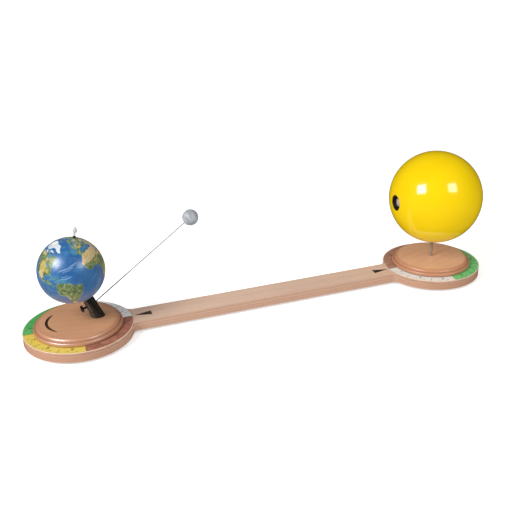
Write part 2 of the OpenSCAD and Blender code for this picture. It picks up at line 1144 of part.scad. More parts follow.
module tail_switch() {
  color("#222326")
    along_lamp(switch_x)
      difference() {
        cylinder(h = lamp_end - switch_x, r = lamp_bore_r - seat_fit);
        translate([0, 0, lamp_end - switch_x - button_in])
          cylinder(h = button_in + 1, r = button_d / 2 + run_fit);
      }
}

module lamp_button() {
  color("#c9352b")
    along_lamp(lamp_end - button_in + button_travel + pass_gap)
      rotate_extrude()
        polygon([
          [0, 0],
          [button_d / 2, 0],
          [button_d / 2, button_in + button_out - button_travel - pass_gap - 1],
          [button_d / 2 - 1, button_in + button_out - button_travel - pass_gap],
          [0, button_in + button_out - button_travel - pass_gap]
        ]);
}

foot_pad();
foot_plate();
foot_washer();
sun_axle();
sun_pulley();
sun_slip_washer();
sun_hub();
sun_hub_screws();
sun_season_plate();
sun_disc();
arm_board();
arm_cover();
cover_screws();
cover_bush();
sun_bush();
earth_bush();
drive_belt();
glide_pads();
date_pointers();
earth_axle();
earth_pulley();
pulley_screw();
earth_slip_washer();
earth_hub();
earth_hub_screws();
earth_season_plate();
earth_disc();
globe_post();
post_screw();
axis_pin();
post_cap();
moon_collar();
moon_wire();
moon_ball();
clamp_screw();
clamp_knob();
globe_north_half();
globe_south_half();
north_bush();
south_bush();
figure_foot();
figure_body();
sun_rod();
sun_shell();
rod_grommet();
rod_saddle();
lamp_tube();
lamp_bezel();
lamp_lens();
lamp_reflector();
lamp_led();
battery_cells();
battery_spring();
tail_switch();
lamp_button();
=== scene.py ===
"""Looks of a wooden tellurion: a swinging arm, a lamp sun, a tilted globe and its moon.

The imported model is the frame. Each sub-assembly below dresses its own nodes and adds the
printed, turned and cratered pieces that the plain solids lack. Lengths are metres, angles
are radians unless a name says degrees, and colours are written as they look, 0 to 255.
"""

import json
import logging
import math
import random
from dataclasses import dataclass, field
from enum import Enum
from typing import ClassVar, Iterable, NamedTuple, Sequence, Union

import bmesh
import bpy
import numpy as np
from mathutils import Matrix, Quaternion, Vector, noise

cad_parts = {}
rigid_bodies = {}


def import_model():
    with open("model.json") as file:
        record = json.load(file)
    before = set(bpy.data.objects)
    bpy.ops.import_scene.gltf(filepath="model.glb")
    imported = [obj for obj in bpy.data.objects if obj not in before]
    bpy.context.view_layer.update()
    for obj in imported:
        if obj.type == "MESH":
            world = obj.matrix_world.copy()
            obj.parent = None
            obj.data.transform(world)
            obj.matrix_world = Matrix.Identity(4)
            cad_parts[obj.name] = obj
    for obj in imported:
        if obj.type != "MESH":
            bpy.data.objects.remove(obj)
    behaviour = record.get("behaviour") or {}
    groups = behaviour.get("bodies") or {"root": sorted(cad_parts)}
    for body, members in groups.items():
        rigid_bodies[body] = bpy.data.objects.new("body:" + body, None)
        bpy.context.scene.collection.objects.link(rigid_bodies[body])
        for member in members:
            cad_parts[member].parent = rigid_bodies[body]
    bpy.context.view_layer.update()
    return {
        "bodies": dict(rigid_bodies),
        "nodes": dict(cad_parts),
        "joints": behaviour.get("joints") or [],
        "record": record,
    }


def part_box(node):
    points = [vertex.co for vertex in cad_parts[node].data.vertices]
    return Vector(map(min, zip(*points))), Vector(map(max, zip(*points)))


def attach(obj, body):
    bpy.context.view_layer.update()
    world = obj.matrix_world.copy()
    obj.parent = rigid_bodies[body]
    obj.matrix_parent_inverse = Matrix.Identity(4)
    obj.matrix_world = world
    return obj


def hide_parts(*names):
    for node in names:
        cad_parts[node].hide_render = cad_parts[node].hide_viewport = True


LOG = logging.getLogger("tellurion")
MM = 0.001
SHARP_EDGE = math.radians(50.0)

Tone = tuple[float, float, float]
Point = tuple[float, float, float]
Socket = bpy.types.NodeSocket
Feed = Union[Socket, float, int, Sequence[float]]


class Body(Enum):
    """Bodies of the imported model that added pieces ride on."""

    BASE = "base"
    TABLE = "earth_table"
    MOON_ARM = "moon_arm"
    GLOBE = "globe"
    SUN = "sun"


class Season(Enum):
    """Colours of the four quarters of a season plate, in the order of the year."""

    WINTER = (228, 230, 231)
    SPRING = (76, 172, 88)
    SUMMER = (220, 193, 80)
    AUTUMN = (168, 107, 86)


class Way(Enum):
    """Direction that drawn or turned metal shows its lines in."""

    ALONG_Z = (24.0, 24.0, 1.0)
    ROUND = (9.0, 9.0, 9.0)


class Pattern(NamedTuple):
    """Noise pattern: waves per unit of its coordinates, finer layers and distortion."""

    scale: float
    detail: float
    warp: float = 0.0


class Ramp(NamedTuple):
    """Soft ramp: the values where it begins and ends, and the results at both."""

    low: float
    high: float
    start: float = 0.0
    end: float = 1.0


def linear(tone: Tone) -> tuple[float, float, float, float]:
    """Turns a colour as it looks into the shader's linear colour, by the sRGB curve.

    Args:
        tone: Red, green and blue, 0 to 255.

    Returns:
        Linear red, green and blue, and an alpha of 1.
    """
    parts = []
    for value in tone:
        share = value / 255.0
        low = share / 12.92
        high = ((share + 0.055) / 1.055) ** 2.4
        parts.append(low if share <= 0.04045 else high)
    return (parts[0], parts[1], parts[2], 1.0)


class Graph:
    """Adds and wires the nodes of one node tree."""

    level: ClassVar[Ramp] = Ramp(0.6, 0.8)

    def __init__(self, tree: bpy.types.NodeTree) -> None:
        """Keeps the tree that the nodes go into."""
        self.tree = tree

    @classmethod
    def blank(cls, owner: Union[bpy.types.Material, bpy.types.World]) -> "Graph":
        """Empties the node tree of a material or a room.

        Args:
            owner: The material or the room.

        Returns:
            A graph of the empty tree.
        """
        owner.use_nodes = True
        owner.node_tree.nodes.clear()
        return cls(owner.node_tree)

    def add(
        self, kind: str, feeds: dict[Union[str, int], Feed] | None = None, **settings: object
    ) -> bpy.types.Node:
        """Adds one node.

        Args:
            kind: Blender's type name of the node.
            feeds: Input name or number to a value or to the socket that feeds it.
            **settings: Properties of the node, set before its inputs.

        Returns:
            The new node.
        """
        node = self.tree.nodes.new(kind)
        for key, value in settings.items():
            setattr(node, key, value)
        for key, value in (feeds or {}).items():
            self.feed(node.inputs[key], value)
        return node

    def feed(self, socket: Socket, value: Feed) -> None:
        """Links a socket, or sets its value.

        Args:
            socket: Input socket.
            value: Output socket to link, or a plain value.
        """
        if isinstance(value, bpy.types.NodeSocket):
            self.tree.links.new(value, socket)
        else:
            socket.default_value = value

    def math(self, operation: str, first: Feed, second: Feed = 0.0, third: Feed = 0.0) -> Socket:
        """Adds a Math node and returns its output socket."""
        feeds = {0: first, 1: second, 2: third}
        return self.add("ShaderNodeMath", feeds, operation=operation).outputs[0]

    def blend(self, share: Feed, first: Feed, second: Feed) -> Socket:
        """Mixes two colours: a share of 0 gives the first, 1 the second."""
        feeds = {0: share, 6: first, 7: second}
        return self.add("ShaderNodeMix", feeds, data_type="RGBA").outputs[2]

    def span(
        self, value: Feed, low: float, high: float, start: float = 0.0, end: float = 1.0
    ) -> Socket:
        """Maps a value from one range to another with soft ends.

        Args:
            value: Value to map.
            low: Value that becomes start.
            high: Value that becomes end.
            start: Result at low.
            end: Result at high.

        Returns:
            The mapped value's socket.
        """
        feeds = {0: value, 1: low, 2: high, 3: start, 4: end}
        node = self.add("ShaderNodeMapRange", feeds, interpolation_type="SMOOTHSTEP")
        return node.outputs[0]

    def tint(self, colour: Feed, value: Feed, ramp: Ramp, tone: Tone) -> Socket:
        """Turns a colour towards a tone by the ramp's result at a value."""
        return self.blend(self.span(value, *ramp), colour, linear(tone))

    def split(self, vector: Feed) -> list[Socket]:
        """Splits a vector into its three parts."""
        return list(self.add("ShaderNodeSeparateXYZ", {0: vector}).outputs)

    def join(self, x: Feed, y: Feed, z: Feed) -> Socket:
        """Joins three values into a vector."""
        return self.add("ShaderNodeCombineXYZ", {0: x, 1: y, 2: z}).outputs[0]

    def noise(self, vector: Feed, scale: Feed, detail: float, warp: float = 0.0) -> Socket:
        """Adds noise about 0.5, from a scale, a number of finer layers and a distortion."""
        feeds = {"Vector": vector, "Scale": scale, "Detail": detail, "Distortion": warp}
        return self.add("ShaderNodeTexNoise", feeds).outputs[0]

    def place(self, centre: Point = (0.0, 0.0, 0.0), turn: float = 0.0) -> Socket:
        """Gives object coordinates, centred and turned on a piece.

        Args:
            centre: Point that becomes the pattern's origin.
            turn: Turn of the pattern about the vertical.

        Returns:
            The coordinates' socket.
        """
        own = self.add("ShaderNodeTexCoord").outputs["Object"]
        feeds = {"Vector": own, "Location": centre, "Rotation": (0.0, 0.0, turn)}
        return self.add("ShaderNodeMapping", feeds, vector_type="TEXTURE").outputs[0]

    def radius(self, x: Socket, y: Socket) -> Socket:
        """Gives the distance from the origin in the level plane."""
        across = self.math("MULTIPLY", y, y)
        return self.math("SQRT", self.math("MULTIPLY_ADD", x, x, across))

    def facing_up(self) -> Socket:
        """Gives 1 on level faces and 0 on upright ones."""
        normal = self.add("ShaderNodeTexCoord").outputs["Normal"]
        return self.span(self.math("ABSOLUTE", self.split(normal)[2]), *self.level)

    def bump(self, height: Socket, depth: float, strength: float = 0.5) -> Socket:
        """Turns a height of 0 to 1 into a normal; depth is the real height of 1."""
        feeds = {"Strength": strength, "Distance": depth, "Height": height}
        return self.add("ShaderNodeBump", feeds).outputs[0]

    def group(self, effect: "Effect", feeds: dict[Union[str, int], Feed]) -> bpy.types.Node:
        """Places a shared effect in this tree."""
        return self.add("ShaderNodeGroup", feeds, node_tree=effect.tree())


class Effect:
    """Surface effect that several finishes share, kept as one node group."""

    name: ClassVar[str] = ""
    takes: ClassVar[dict[str, float]] = {}
    gives: ClassVar[tuple[str, ...]] = ()

    def tree(self) -> bpy.types.NodeTree:
        """Gives the effect's node group, built at its first use.

        Returns:
            The group's tree.
        """
        found = bpy.data.node_groups.get(self.name)
        if found is not None:
            return found
        tree = bpy.data.node_groups.new(self.name, "ShaderNodeTree")
        sockets = tree.interface
        sockets.new_socket("Vector", in_out="INPUT", socket_type="NodeSocketVector")
        for name, value in self.takes.items():
            socket = sockets.new_socket(name, in_out="INPUT", socket_type="NodeSocketFloat")
            socket.default_value = value
        for name in self.gives:
            sockets.new_socket(name, in_out="OUTPUT", socket_type="NodeSocketFloat")
        graph = Graph(tree)
        entry = graph.add("NodeGroupInput").outputs
        graph.add("NodeGroupOutput", dict(enumerate(self.draw(graph, entry))))
        return tree

    def draw(self, graph: Graph, entry: bpy.types.NodeOutputs) -> list[Socket]:
        """Draws the effect and returns one socket for each output."""
        raise NotImplementedError


class WoodGrain(Effect):
    """Long streaks and short pores of a sawn or peeled wood face, along X."""

    name = "wood_grain"
    takes = {"Along": 0.3, "Across": 0.01}
    gives = ("Streaks", "Pores", "Height")
    broad: ClassVar[Pattern] = Pattern(0.55, 3.0, 0.9)
    fine: ClassVar[Pattern] = Pattern(3.4, 5.0, 0.3)
    ring_waver: ClassVar[float] = 11.0
    ring_share: ClassVar[float] = 0.1
    broad_share: ClassVar[float] = 0.4
    fine_share: ClassVar[float] = 0.5
    pore: ClassVar[Pattern] = Pattern(1.0, 1.0)
    pores_along: ClassVar[float] = 22.0
    pores_across: ClassVar[float] = 7.0
    pore_edge: ClassVar[Ramp] = Ramp(0.6, 0.72)
    pore_sink: ClassVar[float] = 0.6

    def draw(self, graph: Graph, entry: bpy.types.NodeOutputs) -> list[Socket]:
        """Draws streaks, pores and the height of both.

        Args:
            graph: Tree of the group.
            entry: Sockets of the group's inputs.

        Returns:
            One socket for each output.
        """
        x, y, z = graph.split(entry["Vector"])
        along = graph.math("DIVIDE", x, entry["Along"])
        across = graph.math("DIVIDE", y, entry["Across"])
        deep = graph.math("DIVIDE", z, entry["Across"])
        sheet = graph.join(along, across, deep)
        broad = graph.noise(sheet, *self.broad)
        fine = graph.noise(sheet, *self.fine)
        phase = graph.math("MULTIPLY_ADD", broad, self.ring_waver, across)
        rings = graph.math("MULTIPLY_ADD", graph.math("SINE", phase), 0.5, 0.5)
        streaks = graph.math("MULTIPLY", rings, self.ring_share)
        streaks = graph.math("MULTIPLY_ADD", broad, self.broad_share, streaks)
        streaks = graph.math("MULTIPLY_ADD", fine, self.fine_share, streaks)
        pore_way = graph.join(
            graph.math("MULTIPLY", along, self.pores_along),
            graph.math("MULTIPLY", across, self.pores_across),
            graph.math("MULTIPLY", deep, self.pores_across),
        )
        pores = graph.span(graph.noise(pore_way, *self.pore), *self.pore_edge)
        height = graph.math("MULTIPLY_ADD", pores, -self.pore_sink, streaks)
        return [streaks, pores, height]


class PlyLayers(Effect):
    """Bands and glue lines on the edge of plywood, stacked along Z."""

    name = "ply_layers"
    takes = {"Ply": 2.6 * MM}
    gives = ("Band", "Glue", "Fibre")
    waver: ClassVar[Pattern] = Pattern(26.0, 2.0)
    waver_height: ClassVar[float] = 0.6 * MM
    chance_share: ClassVar[float] = 0.35
    odd_share: ClassVar[float] = 0.65
    glue_line: ClassVar[Ramp] = Ramp(0.03, 0.11, 1.0, 0.0)
    fibre: ClassVar[Pattern] = Pattern(900.0, 3.0, 0.4)

    def draw(self, graph: Graph, entry: bpy.types.NodeOutputs) -> list[Socket]:
        """Draws the bands, the glue lines and the cut fibres.

        Args:
            graph: Tree of the group.
            entry: Sockets of the group's inputs.

        Returns:
            One socket for each output.
        """
        level = graph.split(entry["Vector"])[2]
        wavy = graph.noise(entry["Vector"], *self.waver)
        level = graph.math("MULTIPLY_ADD", wavy, self.waver_height, level)
        count = graph.math("DIVIDE", level, entry["Ply"])
        number = graph.math("FLOOR", count)
        chance = graph.add("ShaderNodeTexWhiteNoise", {"W": number}, noise_dimensions="1D")
        odd = graph.math("PINGPONG", number, 1.0)
        band = graph.math("MULTIPLY", chance.outputs[0], self.chance_share)
        band = graph.math("MULTIPLY_ADD", odd, self.odd_share, band)
        glue = graph.span(graph.math("PINGPONG", count, 0.5), *self.glue_line)
        fibre = graph.noise(entry["Vector"], *self.fibre)
        return [band, glue, fibre]


class Handling(Effect):
    """Faint smudges and dulling where hands have been."""

    name = "handling"
    takes = {"Size": 30.0 * MM}
    gives = ("Smudge", "Speck")
    smudge_layers: ClassVar[float] = 4.0
    smudge_warp: ClassVar[float] = 0.7
    smudge_edge: ClassVar[Ramp] = Ramp(0.35, 0.7)
    specks_per_smudge: ClassVar[float] = 40.0
    speck_layers: ClassVar[float] = 1.0
    speck_edge: ClassVar[Ramp] = Ramp(0.68, 0.8)

    def draw(self, graph: Graph, entry: bpy.types.NodeOutputs) -> list[Socket]:
        """Draws broad smudges and tiny specks.

        Args:
            graph: Tree of the group.
            entry: Sockets of the group's inputs.

        Returns:
            One socket for each output.
        """
        scale = graph.math("DIVIDE", 1.0, entry["Size"])
        broad = graph.noise(entry["Vector"], scale, self.smudge_layers, self.smudge_warp)
        smudge = graph.span(broad, *self.smudge_edge)
        close = graph.math("MULTIPLY", scale, self.specks_per_smudge)
        tiny = graph.noise(entry["Vector"], close, self.speck_layers)
        return [smudge, graph.span(tiny, *self.speck_edge)]


class MouldSkin(Effect):
    """Fine spark-eroded skin of moulded plastic, or the orange peel of paint."""

    name = "mould_skin"
    takes = {"Size": 0.5 * MM}
    gives = ("Height",)
    layers: ClassVar[float] = 2.0

    def draw(self, graph: Graph, entry: bpy.types.NodeOutputs) -> list[Socket]:
        """Draws the height of the skin."""
        scale = graph.math("DIVIDE", 1.0, entry["Size"])
        return [graph.noise(entry["Vector"], scale, self.layers)]


@dataclass(frozen=True)
class Gloss:
    """Plain numbers of a surface, the same all over it and set straight on the shader."""

    metallic: float = 0.0
    ior: float = 1.5
    specular: float = 0.5
    coat: float = 0.0
    coat_roughness: float = 0.08
    coat_ior: float = 1.5
    transmission: float = 0.0
    sheen: float = 0.0
    subsurface: float = 0.0
    subsurface_scale: float = 2.0 * MM


@dataclass(frozen=True)
class Finish:
    """Surface finish that makes one material."""

    name: str
    gloss: Gloss = Gloss()

    def material(self) -> bpy.types.Material:
        """Gives the finish's material, made at its first use.

        Returns:
            The material, one for each finish.
        """
        for found in bpy.data.materials:
            if found.get("finish") == self.name:
                return found
        made = bpy.data.materials.new(self.name)
        made["finish"] = self.name
        graph = Graph.blank(made)
        plain = {
            "Metallic": self.gloss.metallic,
            "IOR": self.gloss.ior,
            "Specular IOR Level": self.gloss.specular,
            "Coat Weight": self.gloss.coat,
            "Coat Roughness": self.gloss.coat_roughness,
            "Coat IOR": self.gloss.coat_ior,
            "Transmission Weight": self.gloss.transmission,
            "Sheen Weight": self.gloss.sheen,
            "Subsurface Weight": self.gloss.subsurface,
            "Subsurface Scale": self.gloss.subsurface_scale,
        }
        shader = graph.add("ShaderNodeBsdfPrincipled", plain)
        self.paint(graph, shader.inputs)
        graph.add("ShaderNodeOutputMaterial", {"Surface": shader.outputs[0]})
        return made

    def paint(self, graph: Graph, surface: bpy.types.NodeInputs) -> None:
        """Draws the finish's colour, roughness and relief on the inputs of its shader."""
        raise NotImplementedError

    @staticmethod
    def marks(graph: Graph, where: Socket, size: float) -> bpy.types.NodeOutputs:
        """Returns the smudges and specks of handling, of one size."""
        return graph.group(Handling(), {"Vector": where, "Size": size}).outputs


@dataclass(frozen=True)
class Wooden(Finish):
    """Wooden finish: the sizes of its grain, its gloss and its handling marks."""

    light: Tone = (208, 166, 140)
    dark: Tone = (186, 138, 112)
    along: float = 120.0 * MM
    across: float = 4.5 * MM
    streaks: Ramp = Ramp(0.34, 0.66)
    smudge: float = 20.0 * MM
    roughness: float = 0.45
    smudged: float = 0.55
    grain_depth: float = 0.04 * MM
    grain_strength: float = 0.3

    def grain(self, graph: Graph, where: Socket) -> bpy.types.NodeOutputs:
        """Returns the wood's streaks, its pores and the height of both."""
        sizes = {"Vector": where, "Along": self.along, "Across": self.across}
        return graph.group(WoodGrain(), sizes).outputs

    def cover(
        self,
        graph: Graph,
        surface: bpy.types.NodeInputs,
        colour: Socket,
        smudge: Socket,
        height: Socket,
    ) -> None:
        """Feeds the shader of a wooden surface.

        Args:
            graph: The material's tree.
            surface: Inputs of its shader.
            colour: Colour of the wood.
            smudge: Share of handling, which dulls the wood.
            height: Height of the grain.
        """
        shine = graph.span(smudge, 0.0, 1.0, self.roughness, self.smudged)
        graph.feed(surface["Base Color"], colour)
        graph.feed(surface["Roughness"], shine)
        graph.feed(surface["Normal"], graph.bump(height, self.grain_depth, self.grain_strength))


@dataclass(frozen=True)
class TurnedWood(Wooden):
    """Lacquered turned disc, its grain along X before the turn, its moulded edge darker, with
    painted shade in the quirk and at the foot.
    """

    light: Tone = (221, 164, 122)
    dark: Tone = (211, 152, 109)
    along: float = 70.0 * MM
    across: float = 3.0 * MM
    smudge: float = 50.0 * MM
    roughness: float = 0.4
    smudged: float = 0.5
    pore: Tone = (170, 120, 90)
    pore_share: float = 0.35
    edge: Tone = (190, 130, 94)
    # Tone of the painted shade in the quirk between the two rounds and at the foot on the plate.
    crease: Tone = (118, 68, 45)
    centre: Point = (0.0, 0.0, 0.0)
    turn: float = 0.0
    rim: Ramp = Ramp(66.0 * MM, 74.0 * MM, 0.0, 0.8)
    quirk: float = 30.8 * MM
    quirk_core: float = 0.1 * MM
    quirk_half: float = 1.0 * MM
    quirk_stain: float = 0.35
    foot: Ramp = Ramp(23.3 * MM, 26.0 * MM, 0.9, 0.0)

    def paint(self, graph: Graph, surface: bpy.types.NodeInputs) -> None:
        """Draws streaks, pores, painted shade in the quirk and at the foot, and handling marks
        under lacquer.

        Args:
            graph: The material's tree.
            surface: Inputs of its shader.
        """
        where = graph.place(self.centre, self.turn)
        x, y, z = graph.split(where)
        away = graph.radius(x, y)
        grain = self.grain(graph, where)
        colour = graph.tint(linear(self.dark), grain["Streaks"], self.streaks, self.light)
        pores = graph.math("MULTIPLY", grain["Pores"], self.pore_share)
        colour = graph.blend(pores, colour, linear(self.pore))
        colour = graph.tint(colour, away, self.rim, self.edge)
        # Painted shade: a dark line in the quirk and a dark foot where the disc meets the plate.
        off = graph.math("ABSOLUTE", graph.math("SUBTRACT", z, self.quirk))
        line = graph.span(off, self.quirk_core, self.quirk_half, self.quirk_stain, 0.0)
        foot = graph.span(z, *self.foot)
        colour = graph.blend(graph.math("MAXIMUM", line, foot), colour, linear(self.crease))
        colour = self.stain(graph, away, z, colour)
        smudge = self.marks(graph, where, self.smudge)["Smudge"]
        self.cover(graph, surface, colour, smudge, grain["Height"])

    def stain(self, graph: Graph, away: Socket, z: Socket, colour: Socket) -> Socket:
        """Leaves the wood as it is; a grooved disc darkens its groove here."""
        return colour


@dataclass(frozen=True)
class GroovedWood(TurnedWood):
    """Turned wood whose finger groove is drawn dark."""

    groove: Tone = (66, 43, 28)
    sunk: Ramp = Ramp(36.25 * MM, 36.46 * MM, 1.0, 0.0)
    reach: float = 62.0 * MM

    def stain(self, graph: Graph, away: Socket, z: Socket, colour: Socket) -> Socket:
        """Darkens what lies below the disc's flat top.

        Args:
            graph: The material's tree.
            away: Distance from the disc's axis.
            z: Height.
            colour: Colour of the wood.

        Returns:
            The stained colour.
        """
        inside = graph.math("LESS_THAN", away, self.reach)
        share = graph.math("MULTIPLY", inside, graph.span(z, *self.sunk))
        return graph.blend(share, colour, linear(self.groove))


@dataclass(frozen=True)
class Plywood(Wooden):
    """Peeled face veneer on level faces, stacked plies on upright edges, with painted shade on the
    edges of the round ends.
    """

    light: Tone = (222, 190, 168)
    dark: Tone = (213, 178, 154)
    along: float = 220.0 * MM
    streaks: Ramp = Ramp(0.33, 0.68)
    smudge: float = 60.0 * MM
    smudged: float = 0.57
    grain_depth: float = 0.08 * MM
    grain_strength: float = 0.4
    pore: Tone = (186, 146, 122)
    pore_share: float = 0.4
    edge_light: Tone = (212, 174, 149)
    edge_dark: Tone = (198, 154, 129)
    edge_worn: Tone = (185, 134, 105)
    glue: Tone = (150, 102, 80)
    glue_share: float = 0.45
    floor: float = 5.0 * MM
    ply: float = 2.6 * MM
    fibre_share: float = 0.5
    fibre_height: float = 0.3
    bands: Ramp = Ramp(0.1, 1.2)
    middle: float = -0.37
    worn: Ramp = Ramp(0.25, 0.34, 0.0, 0.6)

    def paint(self, graph: Graph, surface: bpy.types.NodeInputs) -> None:
        """Draws the face and the edge and picks one by the way it faces.

        Args:
            graph: The material's tree.
            surface: Inputs of its shader.
        """
        where = graph.place()
        grain = self.grain(graph, where)
        face = graph.tint(linear(self.dark), grain["Streaks"], self.streaks, self.light)
        pores = graph.math("MULTIPLY", grain["Pores"], self.pore_share)
        face = graph.blend(pores, face, linear(self.pore))
        stacked = graph.place((0.0, 0.0, self.floor))
        plies = graph.group(PlyLayers(), {"Vector": stacked, "Ply": self.ply}).outputs
        mixed = graph.math("MULTIPLY_ADD", plies["Fibre"], self.fibre_share, plies["Band"])
        edge = graph.tint(linear(self.edge_light), mixed, self.bands, self.edge_dark)
        # Painted shade: the upright edges of the round ends are drawn darker.
        off = graph.math("ABSOLUTE", graph.math("SUBTRACT", graph.split(where)[0], self.middle))
        edge = graph.tint(edge, off, self.worn, self.edge_worn)
        lines = graph.math("MULTIPLY", plies["Glue"], self.glue_share)
        edge = graph.blend(lines, edge, linear(self.glue))
        colour = graph.blend(graph.facing_up(), edge, face)
        smudge = self.marks(graph, where, self.smudge)["Smudge"]
        height = graph.math("MULTIPLY_ADD", plies["Fibre"], self.fibre_height, grain["Height"])
        self.cover(graph, surface, colour, smudge, height)


@dataclass(frozen=True)
class SeasonPrint(Wooden):
    """Four printed or stained quarters on a wooden plate with a bare rim, which a share of painted
    light can pale.
    """

    centre: Point = (0.0, 0.0, 0.0)
    turn: float = 0.0
    print_radius: float = 98.7 * MM
    rim: Tone = (234, 212, 190)
    stain_dark: Tone = (148, 88, 68)
    spring: Tone = Season.SPRING.value
    spring_lean: float = 0.0
    # Fixed share of the rim's tone over the whole print: painted light for a plate that lies in
    # shade.
    faded: float = 0.0
    thinned: float = 0.07

    def paint(self, graph: Graph, surface: bpy.types.NodeInputs) -> None:
        """Draws the quarters, the stain's grain and the bare rim.

        Args:
            graph: The material's tree.
            surface: Inputs of its shader.
        """
        where = graph.place(self.centre, self.turn)
        x, y, _ = graph.split(where)
        grain = self.grain(graph, where)
        streaks = graph.span(grain["Streaks"], *self.streaks)
        stained = graph.blend(streaks, linear(self.stain_dark), linear(Season.AUTUMN.value))
        east = graph.math("GREATER_THAN", x, 0.0)
        lean = graph.math("MULTIPLY", graph.math("MINIMUM", x, 0.0), self.spring_lean)
        north = graph.math("GREATER_THAN", y, lean)
        back = graph.blend(east, linear(self.spring), linear(Season.WINTER.value))
        front = graph.blend(east, linear(Season.SUMMER.value), stained)
        colour = graph.blend(north, front, back)
        smudge = self.marks(graph, where, self.smudge)["Smudge"]
        # Handling thins the print towards the rim's tone; the fixed share added to it is painted
        # light.
        worn_and_lit_share = graph.math("MULTIPLY_ADD", smudge, self.thinned, self.faded)
        colour = graph.blend(worn_and_lit_share, colour, linear(self.rim))
        side = graph.blend(streaks, linear(self.dark), linear(self.light))
        up = graph.facing_up()
        bare = graph.blend(up, side, linear(self.rim))
        inside = graph.math("LESS_THAN", graph.radius(x, y), self.print_radius)
        colour = graph.blend(graph.math("MULTIPLY", inside, up), bare, colour)
        self.cover(graph, surface, colour, smudge, grain["Height"])


@dataclass(frozen=True)
class Moulded(Finish):
    """Moulded plastic, rubber or sprayed paint with a fine skin."""

    tone: Tone = (30, 30, 32)
    # Tone that handling fades the surface to.
    faded: Tone = (44, 44, 47)
    roughness: float = 0.42
    polished: float = 0.86
    dulled: float = 1.2
    skin: float = 0.6 * MM
    depth: float = 0.03 * MM
    strength: float = 0.4
    smudge: float = 30.0 * MM

    def paint(self, graph: Graph, surface: bpy.types.NodeInputs) -> None:
        """Draws a slightly uneven colour on a fine skin.

        Args:
            graph: The material's tree.
            surface: Inputs of its shader.
        """
        where = graph.place()
        smudge = self.marks(graph, where, self.smudge)["Smudge"]
        skin = graph.group(MouldSkin(), {"Vector": where, "Size": self.skin}).outputs
        colour = graph.blend(smudge, linear(self.tone), linear(self.faded))
        low, high = self.roughness * self.polished, min(self.roughness * self.dulled, 1.0)
        graph.feed(surface["Base Color"], colour)
        graph.feed(surface["Roughness"], graph.span(smudge, 0.0, 1.0, low, high))
        graph.feed(surface["Normal"], graph.bump(skin["Height"], self.depth, self.strength))


@dataclass(frozen=True)
class Metal(Finish):
    """Bright metal with drawn or turned lines."""

    gloss: Gloss = Gloss(metallic=1.0)
    tone: Tone = (196, 199, 203)
    dull: Tone = (166, 170, 175)
    way: Way = Way.ALONG_Z
    roughness: float = 0.24
    polished: float = 0.7
    dulled: float = 1.4
    lines: Pattern = Pattern(260.0, 3.0)
    line_low: float = 0.25
    line_high: float = 0.75
    line_depth: float = 0.01 * MM
    line_strength: float = 0.3
    smudge: float = 20.0 * MM
    dull_share: float = 0.5

    def paint(self, graph: Graph, surface: bpy.types.NodeInputs) -> None:
        """Draws fine lines along the metal and dull patches.

        Args:
            graph: The material's tree.
            surface: Inputs of its shader.
        """
        where = graph.place()
        parts = [graph.math("MULTIPLY", p, s) for p, s in zip(graph.split(where), self.way.value)]
        lines = graph.noise(graph.join(*parts), *self.lines)
        smudge = self.marks(graph, where, self.smudge)["Smudge"]
        dull = graph.math("MULTIPLY", lines, self.dull_share)
        dull = graph.math("MULTIPLY_ADD", smudge, self.dull_share, dull)
        low, high = self.roughness * self.polished, self.roughness * self.dulled
        shine = graph.span(lines, self.line_low, self.line_high, low, high)
        colour = graph.blend(dull, linear(self.tone), linear(self.dull))
        graph.feed(surface["Base Color"], self.tarnish(graph, where, colour))
        graph.feed(surface["Roughness"], shine)
        graph.feed(surface["Normal"], graph.bump(lines, self.line_depth, self.line_strength))

    def tarnish(self, graph: Graph, where: Socket, colour: Socket) -> Socket:
        """Leaves the metal as it is; a wire with painted shade at its low end darkens it here."""
        return colour


@dataclass(frozen=True)
class HandledWire(Metal):
    """Bright wire, darkened from its low end by painted shade and reflection of the dark post and
    globe beside it.
    """

    # Tone of the painted shade and reflection at the wire's low end.
    tarnished: Tone = (56, 56, 58)
    low_end: Ramp = Ramp(96.0 * MM, 118.0 * MM, 1.0, 0.0)

    def tarnish(self, graph: Graph, where: Socket, colour: Socket) -> Socket:
        """Darkens the wire's low end."""
        return graph.tint(colour, graph.split(where)[2], self.low_end, self.tarnished)


@dataclass(frozen=True)
class Felt(Finish):
    """Pressed felt with loose fibres."""

    gloss: Gloss = Gloss(sheen=0.6)
    tone: Tone = (92, 90, 86)
    fibre: Tone = (126, 123, 118)
    tangle: Pattern = Pattern(1600.0, 4.0, 2.2)
    loose: Ramp = Ramp(0.35, 0.65)
    shine: Ramp = Ramp(0.2, 0.8, 0.85, 1.0)
    depth: float = 0.2 * MM
    strength: float = 0.8

    def paint(self, graph: Graph, surface: bpy.types.NodeInputs) -> None:
        """Draws tangled fibres.

        Args:
            graph: The material's tree.
            surface: Inputs of its shader.
        """
        tangle = graph.noise(graph.place(), *self.tangle)
        colour = graph.tint(linear(self.tone), tangle, self.loose, self.fibre)
        graph.feed(surface["Base Color"], colour)
        graph.feed(surface["Roughness"], graph.span(tangle, *self.shine))
        graph.feed(surface["Normal"], graph.bump(tangle, self.depth, self.strength))


